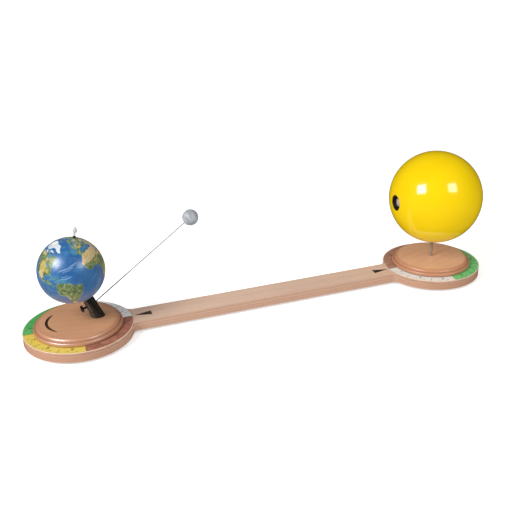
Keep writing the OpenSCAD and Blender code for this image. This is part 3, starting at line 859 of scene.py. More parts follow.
@dataclass(frozen=True)
class ClearLens(Finish):
    """Moulded lens with dust specks: a pale pink middle of painted light from the lit lamp inside,
    and a dark rim of painted shade from the tube.
    """

    gloss: Gloss = Gloss(ior=1.49, transmission=0.4)
    # tone is painted light from the lit lamp inside; rim is painted shade from the tube around the
    # lens.
    tone: Tone = (240, 212, 212)
    dust: Tone = (216, 188, 186)
    rim: Tone = (44, 30, 24)
    centre: Point = (0.0, 0.0, 167.9 * MM)
    frosted: Ramp = Ramp(4.0 * MM, 11.0 * MM, 1.0, 0.0)
    smudge: float = 8.0 * MM
    shine: Ramp = Ramp(0.0, 1.0, 0.03, 0.14)

    def paint(self, graph: Graph, surface: bpy.types.NodeInputs) -> None:
        """Draws the painted light of the middle, the painted shade of the rim and dust.

        Args:
            graph: The material's tree.
            surface: Inputs of its shader.
        """
        where = graph.place(self.centre)
        _, y, z = graph.split(where)
        marks = self.marks(graph, where, self.smudge)
        # Painted light in the middle, painted shade towards the rim.
        middle = graph.span(graph.radius(y, z), *self.frosted)
        colour = graph.blend(middle, linear(self.rim), linear(self.tone))
        dusty = graph.math("MULTIPLY", marks["Speck"], middle)
        graph.feed(surface["Base Color"], graph.blend(dusty, colour, linear(self.dust)))
        graph.feed(surface["Roughness"], graph.span(marks["Smudge"], *self.shine))


@dataclass(frozen=True)
class CellSleeve(Finish):
    """Printed sleeve of a round cell: a plain band and a bright end."""

    sleeve: Tone = (38, 92, 62)
    band: Tone = (186, 190, 192)
    start: float = -68.1 * MM
    pitch: float = 50.0 * MM
    band_from: float = 0.72
    smudge: float = 20.0 * MM
    shine: Ramp = Ramp(0.0, 1.0, 0.25, 0.4)

    def paint(self, graph: Graph, surface: bpy.types.NodeInputs) -> None:
        """Draws the sleeve and the band of each cell along X.

        Args:
            graph: The material's tree.
            surface: Inputs of its shader.
        """
        where = graph.place((self.start, 0.0, 0.0))
        along = graph.math("FRACT", graph.math("DIVIDE", graph.split(where)[0], self.pitch))
        tail = graph.math("GREATER_THAN", along, self.band_from)
        smudge = self.marks(graph, where, self.smudge)["Smudge"]
        colour = graph.blend(tail, linear(self.sleeve), linear(self.band))
        graph.feed(surface["Base Color"], colour)
        graph.feed(surface["Roughness"], graph.span(smudge, *self.shine))


@dataclass(frozen=True)
class GlobeMap(Finish):
    """Varnished physical map, drawn from the globe's own coast and climate values."""

    gloss: Gloss = Gloss(coat=0.75, coat_roughness=0.28, coat_ior=1.65, sheen=0.22)
    deep: Tone = (4, 86, 148)
    mid: Tone = (20, 100, 160)
    teal: Tone = (62, 132, 156)
    shelf: Tone = (92, 150, 184)
    line: Tone = (178, 206, 236)
    forest: Tone = (62, 86, 44)
    green: Tone = (100, 130, 76)
    straw: Tone = (196, 192, 116)
    tan: Tone = (206, 180, 132)
    gold: Tone = (198, 174, 84)
    rock: Tone = (138, 106, 76)
    ice: Tone = (206, 213, 218)
    sea_floor: Pattern = Pattern(45.0, 5.0, 0.8)
    depths: Ramp = Ramp(0.35, 0.65)
    shoal_break: float = 0.9
    shoals: Ramp = Ramp(0.6, 1.1, 0.0, 0.8)
    shelves: Ramp = Ramp(-1.8, 0.3, 0.0, 0.45)
    sea_ridges: Pattern = Pattern(48.0, 6.0, 1.6)
    ridge_line: Ramp = Ramp(0.0, 0.008, 0.14, 0.0)
    ground: Pattern = Pattern(420.0, 6.0, 0.6)
    patches: Pattern = Pattern(130.0, 5.0, 0.8)
    woods: Ramp = Ramp(0.42, 0.58)
    grass: Ramp = Ramp(0.5, 0.7, 0.0, 0.55)
    dry_break: float = 0.8
    deserts: Ramp = Ramp(0.66, 1.0)
    burnt: Ramp = Ramp(0.5, 0.7, 0.0, 0.5)
    high_break: float = 0.9
    uplands: Ramp = Ramp(0.62, 1.0, 0.0, 0.9)
    summits: Ramp = Ramp(1.05, 1.35, 0.0, 0.85)
    ice_break: float = 0.5
    snow: Ramp = Ramp(0.6, 0.82)
    hills: Pattern = Pattern(200.0, 4.0, 0.5)
    hill_shift: Point = (0.9 * MM, 0.0, -1.2 * MM)
    shaded: Ramp = Ramp(0.02, 0.2, 0.0, 0.45)
    sunlit: Ramp = Ramp(-0.2, -0.02, 0.35, 0.0)
    ragged: Pattern = Pattern(260.0, 5.0, 0.4)
    ragged_degrees: float = 2.6
    shore: Ramp = Ramp(-0.25, 0.25)
    floes: Pattern = Pattern(140.0, 4.0, 0.8)
    pack_break: float = 0.8
    pack_ice: Ramp = Ramp(0.7, 1.0, 0.0, 0.92)
    smudge: float = 30.0 * MM
    shine: Ramp = Ramp(0.0, 1.0, 0.4, 0.5)

    @staticmethod
    def value(graph: Graph, name: str) -> Socket:
        """Returns the socket of one of the globe's own values."""
        return graph.add("ShaderNodeAttribute", attribute_name=name).outputs["Fac"]

    @classmethod
    def broken(cls, graph: Graph, name: str, noise_value: Socket, share: float) -> Socket:
        """Breaks up one of the globe's own values by adding a share of noise."""
        return graph.math("MULTIPLY_ADD", noise_value, share, cls.value(graph, name))

    def sea(self, graph: Graph, where: Socket, coast: Socket) -> Socket:
        """Draws deep water, shoals, shelves, sea-floor ridges and pale currents.

        Args:
            graph: The material's tree.
            where: Object coordinates.
            coast: Degrees from the coast, negative at sea.

        Returns:
            The sea's colour.
        """
        floor = graph.noise(where, *self.sea_floor)
        colour = graph.tint(linear(self.deep), floor, self.depths, self.mid)
        shoal = self.broken(graph, "shoal", floor, self.shoal_break)
        colour = graph.tint(colour, shoal, self.shoals, self.teal)
        colour = graph.tint(colour, coast, self.shelves, self.shelf)
        crease = graph.math("SUBTRACT", graph.noise(where, *self.sea_ridges), 0.5)
        ridge = graph.math("ABSOLUTE", crease)
        colour = graph.tint(colour, ridge, self.ridge_line, self.line)
        return graph.blend(self.value(graph, "ridge"), colour, linear(self.line))

    def land(self, graph: Graph, where: Socket) -> Socket:
        """Draws forest, grass, desert, upland and ice.

        Args:
            graph: The material's tree.
            where: Object coordinates.

        Returns:
            The land's colour.
        """
        fine = graph.noise(where, *self.ground)
        patch = graph.noise(where, *self.patches)
        colour = graph.tint(linear(self.forest), patch, self.woods, self.green)
        colour = graph.tint(colour, fine, self.grass, self.straw)
        arid = graph.span(self.broken(graph, "dry", patch, self.dry_break), *self.deserts)
        colour = graph.blend(arid, colour, linear(self.tan))
        burnt = graph.math("MULTIPLY", arid, graph.span(fine, *self.burnt))
        colour = graph.blend(burnt, colour, linear(self.rock))
        high = self.broken(graph, "high", fine, self.high_break)
        colour = graph.tint(colour, high, self.uplands, self.gold)
        colour = graph.tint(colour, high, self.summits, self.rock)
        colour = self.relief(graph, where, colour)
        cold = self.broken(graph, "ice", patch, self.ice_break)
        return graph.tint(colour, cold, self.snow, self.ice)

    def relief(self, graph: Graph, where: Socket, colour: Socket) -> Socket:
        """Shades hills as if lit from the map's north-west.

        Args:
            graph: The material's tree.
            where: Object coordinates.
            colour: Colour of the land.

        Returns:
            The shaded colour.
        """
        moved = graph.add("ShaderNodeVectorMath", {0: where, 1: self.hill_shift}, operation="ADD")
        here = graph.noise(where, *self.hills)
        there = graph.noise(moved.outputs[0], *self.hills)
        slope = graph.math("SUBTRACT", here, there)
        colour = graph.tint(colour, slope, self.shaded, self.forest)
        return graph.tint(colour, slope, self.sunlit, self.straw)

    def paint(self, graph: Graph, surface: bpy.types.NodeInputs) -> None:
        """Draws sea and land with a ragged coast between them, and the pack ice over both.

        Args:
            graph: The material's tree.
            surface: Inputs of its shader.
        """
        where = graph.place()
        ragged = graph.noise(where, *self.ragged)
        wide, middle = self.ragged_degrees, -self.ragged_degrees / 2.0
        ragged = graph.math("MULTIPLY_ADD", ragged, wide, middle)
        coast = graph.math("ADD", self.value(graph, "coast"), ragged)
        sea = self.sea(graph, where, coast)
        colour = graph.blend(graph.span(coast, *self.shore), sea, self.land(graph, where))
        pack = self.broken(graph, "pack", graph.noise(where, *self.floes), self.pack_break)
        colour = graph.tint(colour, pack, self.pack_ice, self.ice)
        smudge = self.marks(graph, where, self.smudge)["Smudge"]
        graph.feed(surface["Base Color"], colour)
        graph.feed(surface["Roughness"], graph.span(smudge, *self.shine))


@dataclass(frozen=True)
class MoonStone(Finish):
    """Grey mottled ball with dark plains."""

    light: Tone = (177, 181, 186)
    dark: Tone = (140, 144, 150)
    plains: Pattern = Pattern(110.0, 4.0, 0.5)
    plain_edge: Ramp = Ramp(0.4, 0.62)
    plain_share: float = 0.65
    pits: Pattern = Pattern(900.0, 3.0)
    pit_share: float = 0.35
    pit_depth: float = 0.1 * MM
    pit_strength: float = 0.4
    shine: Ramp = Ramp(0.2, 0.8, 0.45, 0.65)

    def paint(self, graph: Graph, surface: bpy.types.NodeInputs) -> None:
        """Draws plains, highlands and pitted grain.

        Args:
            graph: The material's tree.
            surface: Inputs of its shader.
        """
        where = graph.place()
        plains = graph.span(graph.noise(where, *self.plains), *self.plain_edge)
        pits = graph.noise(where, *self.pits)
        share = graph.math("MULTIPLY", plains, self.plain_share)
        share = graph.math("MULTIPLY_ADD", pits, self.pit_share, share)
        graph.feed(surface["Base Color"], graph.blend(share, linear(self.dark), linear(self.light)))
        graph.feed(surface["Roughness"], graph.span(pits, *self.shine))
        graph.feed(surface["Normal"], graph.bump(pits, self.pit_depth, self.pit_strength))


class Finishes:
    """Every finish of the part, by what it is put on, and the glosses that some share."""

    EARTH_XY: ClassVar[Point] = (-0.74, 0.0, 0.0)

    rubber = Moulded("rubber_sheet", tone=(34, 34, 37), faded=(52, 52, 55), roughness=0.8)
    nylon = Moulded(
        "nylon",
        Gloss(subsurface=0.1),
        tone=(232, 229, 218),
        faded=(222, 217, 203),
        roughness=0.45,
    )
    black = Moulded(
        "black_plastic",
        Gloss(coat=0.6, coat_roughness=0.16),
        tone=(13, 13, 17),
        faded=(22, 22, 25),
        roughness=0.5,
    )
    pulley = Moulded("pulley_plastic", tone=(36, 38, 41), faded=(50, 52, 55), roughness=0.5)
    belt = Moulded("belt_cord", tone=(66, 54, 46), faded=(86, 72, 60), roughness=0.6)
    white = Moulded(
        "figure_plastic",
        Gloss(subsurface=0.2),
        tone=(196, 198, 201),
        faded=(210, 211, 214),
        roughness=0.4,
    )
    red = Moulded("button_plastic", tone=(196, 44, 36), faded=(206, 62, 50), roughness=0.35)
    lamp = Moulded("lamp_plastic", tone=(22, 22, 24), faded=(32, 32, 35), roughness=0.5)
    led = Moulded(
        "lamp_phosphor",
        Gloss(subsurface=0.2),
        tone=(236, 218, 130),
        faded=(226, 224, 210),
        roughness=0.3,
    )
    sun = Moulded(
        "sun_enamel",
        Gloss(specular=0.03, coat=1.0, coat_roughness=0.13, coat_ior=1.65),
        tone=(242, 206, 0),
        faded=(240, 201, 0),
        roughness=0.6,
        skin=3.0 * MM,
        depth=0.01 * MM,
        smudge=80.0 * MM,
    )
    stem = Moulded(
        "black_steel",
        Gloss(metallic=0.6),
        tone=(26, 26, 28),
        faded=(40, 40, 43),
        roughness=0.35,
    )
    ink = Moulded("dial_ink", tone=(48, 38, 30), faded=(74, 60, 46), roughness=0.6)
    inlay = Moulded("pointer_inlay", tone=(60, 48, 40), faded=(80, 66, 54), roughness=0.45)
    steel = Metal("axle_steel")
    rod = Metal(
        "rod_steel",
        Gloss(metallic=0.7),
        tone=(188, 182, 174),
        dull=(160, 152, 142),
        roughness=0.3,
    )
    wire = HandledWire(
        "wire_steel",
        Gloss(metallic=0.4),
        tone=(156, 158, 161),
        dull=(138, 140, 144),
        way=Way.ROUND,
        roughness=0.35,
    )
    plate = Metal("foot_steel", tone=(150, 154, 159), dull=(126, 130, 136), roughness=0.4)
    hub = Metal("hub_alloy", tone=(190, 193, 196), dull=(160, 164, 168), way=Way.ROUND)
    screw = Metal("screw_steel", tone=(150, 154, 158), dull=(120, 124, 128), roughness=0.32)
    brass = Metal("screw_brass", tone=(222, 192, 116), dull=(184, 150, 84), way=Way.ROUND)
    mirror = Metal("lamp_mirror", tone=(214, 217, 221), dull=(200, 203, 207), roughness=0.12)
    felt = Felt("glide_felt")
    lens = ClearLens("lamp_lens")
    cells = CellSleeve("cell_sleeve")
    board = Plywood("arm_plywood", Gloss(coat=0.25, coat_roughness=0.2))
    cover = Plywood("cover_plywood", ply=1.0 * MM)
    disc_gloss = Gloss(specular=0.3, coat=1.0, coat_roughness=0.37, coat_ior=2.3)
    dry_gloss = Gloss(specular=0.3, coat=0.5, coat_roughness=0.4, coat_ior=1.9)
    # The sun disc's light and dark tones are lighter than the earth disc's: painted light that
    # offsets the shadow of the sun ball above it.
    sun_disc = TurnedWood(
        "sun_disc_beech",
        dry_gloss,
        light=(230, 183, 146),
        dark=(220, 171, 134),
        edge=(184, 122, 86),
        turn=0.35,
        quirk_stain=0.2,
    )
    earth_disc = GroovedWood("earth_disc_beech", disc_gloss, centre=EARTH_XY, turn=-0.2)
    plate_gloss = Gloss(coat=0.3, coat_roughness=0.2)
    # The sun plate's share of the rim's tone is painted light that offsets the shadow of the sun
    # ball above it.
    sun_plate = SeasonPrint(
        "sun_season_print",
        plate_gloss,
        turn=math.pi,
        spring=(40, 194, 95),
        spring_lean=0.3,
        faded=0.17,
    )
    earth_plate = SeasonPrint("earth_season_print", plate_gloss, centre=EARTH_XY)
    globe = GlobeMap("globe_map")
    moon = MoonStone("moon_stone")


def dress(nodes: Iterable[str], finish: Finish) -> None:
    """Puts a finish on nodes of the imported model.

    Args:
        nodes: Names of the nodes.
        finish: Finish for all of them.
    """
    for name in nodes:
        for slot in bpy.data.objects[name].material_slots:
            slot.material = finish.material()
        LOG.info("dressed %s in %s", name, finish.name)


def make_mesh(
    name: str, points: Iterable[Sequence[float]], faces: Iterable[Sequence[int]]
) -> bpy.types.Mesh:
    """Makes a smooth mesh with its faces turned outwards.

    Args:
        name: Name of the mesh.
        points: Corner points.
        faces: Corner numbers of each face.

    Returns:
        The mesh.
    """
    mesh = bpy.data.meshes.new(name)
    mesh.from_pydata([tuple(p) for p in points], [], [tuple(f) for f in faces])
    shape = bmesh.new()
    shape.from_mesh(mesh)
    bmesh.ops.recalc_face_normals(shape, faces=shape.faces)
    shape.to_mesh(mesh)
    shape.free()
    mesh.shade_smooth()
    return mesh


def make_piece(
    name: str,
    mesh: bpy.types.Mesh,
    body: Body,
    finish: Finish,
    stands_for: Sequence[str] = (),
) -> None:
    """Adds a finished mesh to the object.

    Args:
        name: Name of the piece.
        mesh: Its mesh, already in place.
        body: Body that it moves with.
        finish: Its finish, for a mesh that has no material yet.
        stands_for: Nodes that it is shown instead of.
    """
    if not mesh.materials:
        mesh.materials.append(finish.material())
    piece = bpy.data.objects.new(name, mesh)
    bpy.context.scene.collection.objects.link(piece)
    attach(piece, body.value)
    if stands_for:
        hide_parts(*stands_for)
    LOG.info("made %s, %d faces, on %s", name, len(mesh.polygons), body.value)


def arc(
    radius: Union[float, np.ndarray], angles: np.ndarray, middle: Sequence[float] = (0.0, 0.0)
) -> np.ndarray:
    """Gives radius and height of the points of a round stretch of a profile."""
    reach = middle[0] + radius * np.cos(angles)
    return np.stack([reach, middle[1] + radius * np.sin(angles)], axis=1)


def lathe(
    profile: np.ndarray, segments: int, frame: Matrix
) -> tuple[np.ndarray, list[tuple[int, ...]]]:
    """Turns a closed profile about the Z axis of a frame.

    Args:
        profile: Radius and height of each point, in order round the profile.
        segments: Steps in the turn.
        frame: Place of the turned piece.

    Returns:
        Points, profile point by profile point, and faces.
    """
    angles = np.linspace(0.0, 2.0 * math.pi, segments, endpoint=False)
    radius, height = profile[:, 0:1], profile[:, 1:2]
    x = radius * np.cos(angles)
    y = radius * np.sin(angles)
    z = np.repeat(height, segments, axis=1)
    own = np.stack([x, y, z, np.ones_like(x)], axis=-1).reshape(-1, 4)
    points = (own @ np.array(frame).T)[:, :3]
    rows = len(profile)
    faces = []
    for row in range(rows):
        low, high = row * segments, (row + 1) % rows * segments
        for step in range(segments):
            after = (step + 1) % segments
            faces.append((low + step, low + after, high + after, high + step))
    return points, faces


def nodes_to_mesh(name: str, tree: bpy.types.NodeTree, values: dict[str, object]) -> bpy.types.Mesh:
    """Runs a Geometry Nodes tree and keeps its result as a plain mesh.

    Args:
        name: Name of the mesh.
        tree: The tree.
        values: Its inputs, by name.

    Returns:
        The mesh.
    """
    holder = bpy.data.objects.new(name + "_maker", bpy.data.meshes.new(name + "_blank"))
    bpy.context.scene.collection.objects.link(holder)
    modifier = holder.modifiers.new("maker", "NODES")
    modifier.node_group = tree
    for item in tree.interface.items_tree:
        if item.in_out == "INPUT" and item.name in values:
            modifier[item.identifier] = values[item.name]
    graph = bpy.context.evaluated_depsgraph_get()
    mesh = bpy.data.meshes.new_from_object(holder.evaluated_get(graph))
    mesh.name = name
    holder.modifiers.clear()
    bpy.data.objects.remove(holder)
    return mesh


class Assembly:
    """Sub-assembly of the object: the nodes that it dresses and the pieces that it adds."""

    wears: ClassVar[tuple[tuple[Finish, tuple[str, ...]], ...]] = ()

    def dress(self) -> None:
        """Dresses the sub-assembly's nodes, finish by finish."""
        for finish, nodes in self.wears:
            dress(nodes, finish)

    def build(self) -> None:
        """Adds no piece; a sub-assembly with finer pieces makes them here."""


@dataclass
class Foot(Assembly):
    """Fixed foot under the sun with its axle, pulley and hub."""

    wears = (
        (Finishes.rubber, ("foot_pad",)),
        (Finishes.plate, ("foot_plate",)),
        (Finishes.nylon, ("foot_washer", "sun_slip_washer")),
        (Finishes.steel, ("sun_axle",)),
        (Finishes.pulley, ("sun_pulley",)),
        (Finishes.hub, ("sun_hub",)),
        (Finishes.brass, ("sun_hub_screws",)),
    )


@dataclass
class Arm(Assembly):
    """Swinging plywood arm with its cover, bushes, belt, glides and pointers."""

    wears = (
        (Finishes.board, ("arm_board",)),
        (Finishes.cover, ("arm_cover",)),
        (Finishes.brass, ("cover_screws",)),
        (Finishes.nylon, ("cover_bush", "sun_bush", "earth_bush")),
        (Finishes.belt, ("drive_belt",)),
        (Finishes.felt, ("glide_pads",)),
        (Finishes.inlay, ("date_pointers",)),
    )


@dataclass
class DiscEdge:
    """Turned edge fitted on a disc: a half-round band below, a quarter round above."""

    side: str
    body: Body
    centre: Vector
    finish: Finish
    band_centre: tuple[float, float] = (76.6 * MM, 27.0 * MM)
    band_radius: float = 3.9 * MM
    band_start: float = math.radians(-60.0)
    round_centre: tuple[float, float] = (70.2 * MM, 30.7 * MM)
    round_radius: float = 5.8 * MM
    top: float = 36.49 * MM
    inner_radius: float = 68.9 * MM
    core: tuple[float, float] = (70.0 * MM, 25.0 * MM)
    steps: int = 20
    segments: int = 240

    def build(self) -> None:
        """Turns the edge; its inner side is buried in the disc."""
        band = np.linspace(self.band_start, math.pi / 2.0, self.steps)
        upper = np.linspace(0.0, math.pi / 2.0, self.steps)
        curves = [
            arc(self.band_radius, band, self.band_centre),
            arc(self.round_radius, upper, self.round_centre),
        ]
        inside = np.array([(self.inner_radius, self.top), self.core])
        profile = np.concatenate([*curves, inside])
        points, faces = lathe(profile, self.segments, Matrix.Translation(self.centre))
        mesh = make_mesh(f"{self.side}_disc_edge", points, faces)
        mesh.set_sharp_from_angle(angle=SHARP_EDGE)
        make_piece(f"{self.side}_disc_edge", mesh, self.body, self.finish)


@dataclass
class SeasonDial(Assembly):
    """Season plate and turned disc of one end, with the printed months."""

    side: str
    body: Body
    centre: Vector
    turn: float
    plate: Finish
    disc: Finish
    top: float = 23.0 * MM
    ink_height: float = 0.05 * MM
    month_radius: float = 91.5 * MM
    month_length: float = 13.0 * MM
    month_width: float = 0.8 * MM
    day_radius: float = 96.0 * MM
    day_length: float = 2.2 * MM
    day_width: float = 0.4 * MM
    months: int = 12
    days: int = 72
    number_radius: float = 86.6 * MM
    number_size: float = 12.0 * MM
    day_number_radius: float = 92.4 * MM
    day_number_size: float = 4.2 * MM
    printed_days: tuple[int, ...] = (10, 20)
    month_days: int = 30
    type_steps: int = 4
    weld: float = 0.001 * MM

    def dress(self) -> None:
        """Dresses the plate and the disc."""
        dress([f"{self.side}_season_plate"], self.plate)
        dress([f"{self.side}_disc"], self.disc)

    def build(self) -> None:
        """Prints the month lines, day ticks and numbers, and turns the disc's edge."""
        ticks = nodes_to_mesh(f"{self.side}_ticks", self.tick_tree(), self.tick_sizes())
        make_piece(f"{self.side}_month_ticks", ticks, self.body, Finishes.ink)
        make_piece(f"{self.side}_month_numbers", self.numbers(), self.body, Finishes.ink)
        DiscEdge(self.side, self.body, self.centre, self.disc).build()

    def tick_sizes(self) -> dict[str, object]:
        """Gives the inputs of the tick tree for this dial.

        Returns:
            Value of each input, by its name.
        """
        middle = self.centre + Vector((0.0, 0.0, self.top))
        return {
            "Centre": tuple(middle),
            "Turn": self.turn,
            "Ink Height": self.ink_height,
            "Months": self.months,
            "Month Radius": self.month_radius,
            "Month Length": self.month_length,
            "Month Width": self.month_width,
            "Days": self.days,
            "Day Radius": self.day_radius,
            "Day Length": self.day_length,
            "Day Width": self.day_width,
            "Ink": Finishes.ink.material(),
        }

    @staticmethod
    def tick_tree() -> bpy.types.NodeTree:
        """Gives the tree that prints two rings of ticks, built at its first use.

        Returns:
            The tree.
        """
        found = bpy.data.node_groups.get("dial_ticks")
        if found is not None:
            return found
        tree = bpy.data.node_groups.new("dial_ticks", "GeometryNodeTree")
        kinds = {"Centre": "Vector", "Months": "Int", "Days": "Int", "Ink": "Material"}
        names = ["Centre", "Turn", "Ink Height", "Months", "Month Radius", "Month Length"]
        names += ["Month Width", "Days", "Day Radius", "Day Length", "Day Width", "Ink"]
        for name in names:
            kind = "NodeSocket" + kinds.get(name, "Float")
            tree.interface.new_socket(name, in_out="INPUT", socket_type=kind)
        tree.interface.new_socket("Geometry", in_out="OUTPUT", socket_type="NodeSocketGeometry")
        graph = Graph(tree)
        entry = graph.add("NodeGroupInput").outputs
        rings = [
            SeasonDial.tick_ring(graph, entry, "Months", "Month", shift=0.0),
            SeasonDial.tick_ring(graph, entry, "Days", "Day", shift=0.5),
        ]
        joined = graph.add("GeometryNodeJoinGeometry")
        for ring in rings:
            tree.links.new(ring, joined.inputs[0])
        solid = graph.add("GeometryNodeRealizeInstances", {0: joined.outputs[0]})
        inked = graph.add(
            "GeometryNodeSetMaterial", {"Geometry": solid.outputs[0], "Material": entry["Ink"]}
        )
        graph.add("NodeGroupOutput", {0: inked.outputs[0]})
        return tree

    @staticmethod
    def tick_ring(
        graph: Graph, entry: bpy.types.NodeOutputs, count: str, kind: str, shift: float
    ) -> Socket:
        """Draws one ring of ticks.

        Args:
            graph: The tick tree.
            entry: Its inputs.
            count: Name of the input with the number of ticks.
            kind: First word of the inputs with the tick's sizes.
            shift: Share of a step that the first tick is moved by.

        Returns:
            The ring's instances.
        """
        number = graph.math("ADD", graph.add("GeometryNodeInputIndex").outputs[0], shift)
        step = graph.math("DIVIDE", 2.0 * math.pi, entry[count])
        angle = graph.math("MULTIPLY_ADD", number, step, entry["Turn"])
        x = graph.math("MULTIPLY", graph.math("COSINE", angle), entry[f"{kind} Radius"])
        y = graph.math("MULTIPLY", graph.math("SINE", angle), entry[f"{kind} Radius"])
        spot = graph.add(
            "ShaderNodeVectorMath", {0: graph.join(x, y, 0.0), 1: entry["Centre"]}, operation="ADD"
        )
        feeds = {"Count": entry[count], "Position": spot.outputs[0]}
        points = graph.add("GeometryNodePoints", feeds).outputs[0]
        size = graph.join(entry[f"{kind} Length"], entry[f"{kind} Width"], entry["Ink Height"])
        bar = graph.add("GeometryNodeMeshCube", {"Size": size})
        facing = graph.add("FunctionNodeEulerToRotation", {0: graph.join(0.0, 0.0, angle)})
        feeds = {"Points": points, "Instance": bar.outputs[0], "Rotation": facing.outputs[0]}
        return graph.add("GeometryNodeInstanceOnPoints", feeds).outputs[0]

    def numbers(self) -> bpy.types.Mesh:
        """Makes the month numbers and the small day numbers, read from outside the dial.

        Returns:
            One mesh with all of them.
        """
        whole = bmesh.new()
        step = 2.0 * math.pi / self.months
        for month in range(self.months):
            start = self.turn + month * step
            middle = start + step / 2.0
            self.add_number(whole, month + 1, self.number_size, self.number_radius, middle)
            for day in self.printed_days:
                angle = start + step * day / self.month_days
                self.add_number(whole, day, self.day_number_size, self.day_number_radius, angle)
        bmesh.ops.remove_doubles(whole, verts=whole.verts, dist=self.weld)
        bmesh.ops.recalc_face_normals(whole, faces=whole.faces)
        mesh = bpy.data.meshes.new(f"{self.side}_numbers")
        whole.to_mesh(mesh)
        whole.free()
        return mesh

    def add_number(
        self, whole: bmesh.types.BMesh, number: int, size: float, radius: float, angle: float
    ) -> None:
        """Adds one printed number to the dial.

        Args:
            whole: Mesh that takes the number.
            number: What is printed.
            size: Height of the type.
            radius: Distance from the dial's centre.
            angle: Direction from the dial's centre.
        """
        letters = bpy.data.curves.new(f"number_{number}", "FONT")
        letters.body = str(number)
        letters.size = size
        letters.extrude = self.ink_height / 2.0
        letters.align_x = "CENTER"
        letters.align_y = "CENTER"
        letters.resolution_u = self.type_steps
        holder = bpy.data.objects.new(letters.name, letters)
        bpy.context.scene.collection.objects.link(holder)
        graph = bpy.context.evaluated_depsgraph_get()
        mesh = bpy.data.meshes.new_from_object(holder.evaluated_get(graph))
        spot = Vector((math.cos(angle), math.sin(angle), 0.0)) * radius
        spot += self.centre + Vector((0.0, 0.0, self.top))
        mesh.transform(Matrix.Translation(spot) @ Matrix.Rotation(angle + math.pi / 2.0, 4, "Z"))
        whole.from_mesh(mesh)
        bpy.data.objects.remove(holder)
        bpy.data.curves.remove(letters)
        bpy.data.meshes.remove(mesh)


@dataclass
class Turntable(Assembly):
    """Turntable under the globe with its drive and the leaning post."""

    wears = (
        (Finishes.steel, ("earth_axle", "axis_pin")),
        (Finishes.pulley, ("earth_pulley",)),
        (Finishes.brass, ("pulley_screw", "earth_hub_screws")),
        (Finishes.nylon, ("earth_slip_washer",)),
        (Finishes.hub, ("earth_hub",)),
        (Finishes.screw, ("post_screw",)),
        (Finishes.black, ("globe_post", "post_cap")),
    )


@dataclass
class MoonArm(Assembly):
    """Moon on its wire, with the collar and the clamp knob.

    Crater widths are radians, seen from the moon's centre. A crater's lip is placed and
    measured in shares of its width.
    """

    wears = (
        (Finishes.black, ("moon_collar", "clamp_knob")),
        (Finishes.wire, ("moon_wire",)),
        (Finishes.stem, ("clamp_screw",)),
    )
    radius: float = 14.5 * MM
    splits: int = 6
    craters: int = 90
    narrowest: float = 0.05
    widest: float = 0.34
    rarity: float = 3.0
    ground: float = 0.06 * MM
    deepest: float = 0.28 * MM
    full_depth_width: float = 0.2
    lip: float = 0.05 * MM
    lip_place: float = 1.05
    lip_width: float = 0.14
    seed: int = 11

    def build(self) -> None:
        """Models the cratered moon in place of the plain ball."""
        low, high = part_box("moon_ball")
        centre = np.array((low + high) / 2.0)
        shape = bmesh.new()
        bmesh.ops.create_icosphere(shape, subdivisions=self.splits, radius=1.0)
        mesh = bpy.data.meshes.new("moon_relief")
        shape.to_mesh(mesh)
        shape.free()
        ways = np.empty(len(mesh.vertices) * 3)
        mesh.vertices.foreach_get("co", ways)
        ways = ways.reshape(-1, 3)
        points = centre + ways * (self.radius - self.hollow(ways))[:, None]
        mesh.vertices.foreach_set("co", points.ravel())
        mesh.shade_smooth()
        make_piece("moon_relief", mesh, Body.MOON_ARM, Finishes.moon, ["moon_ball"])

    def hollow(self, ways: np.ndarray) -> np.ndarray:
        """Gives the depth of the craters.

        Args:
            ways: Unit directions from the moon's centre.

        Returns:
            Depth below the ball's surface for each direction.
        """
        chance = random.Random(self.seed)
        depth = np.full(len(ways), self.ground)
        for _ in range(self.craters):
            middle = np.array([chance.gauss(0.0, 1.0) for _ in range(3)])
            middle /= np.linalg.norm(middle)
            spread = (self.widest - self.narrowest) * chance.random() ** self.rarity
            width = self.narrowest + spread
            away = np.arccos(np.clip(ways @ middle, -1.0, 1.0)) / width
            bowl = self.deepest * min(1.0, width / self.full_depth_width)
            depth += np.where(away < 1.0, bowl * (1.0 - away**2) ** 2, 0.0)
            depth -= self.lip * np.exp(-(((away - self.lip_place) / self.lip_width) ** 2))
        return np.maximum(depth, 0.0)


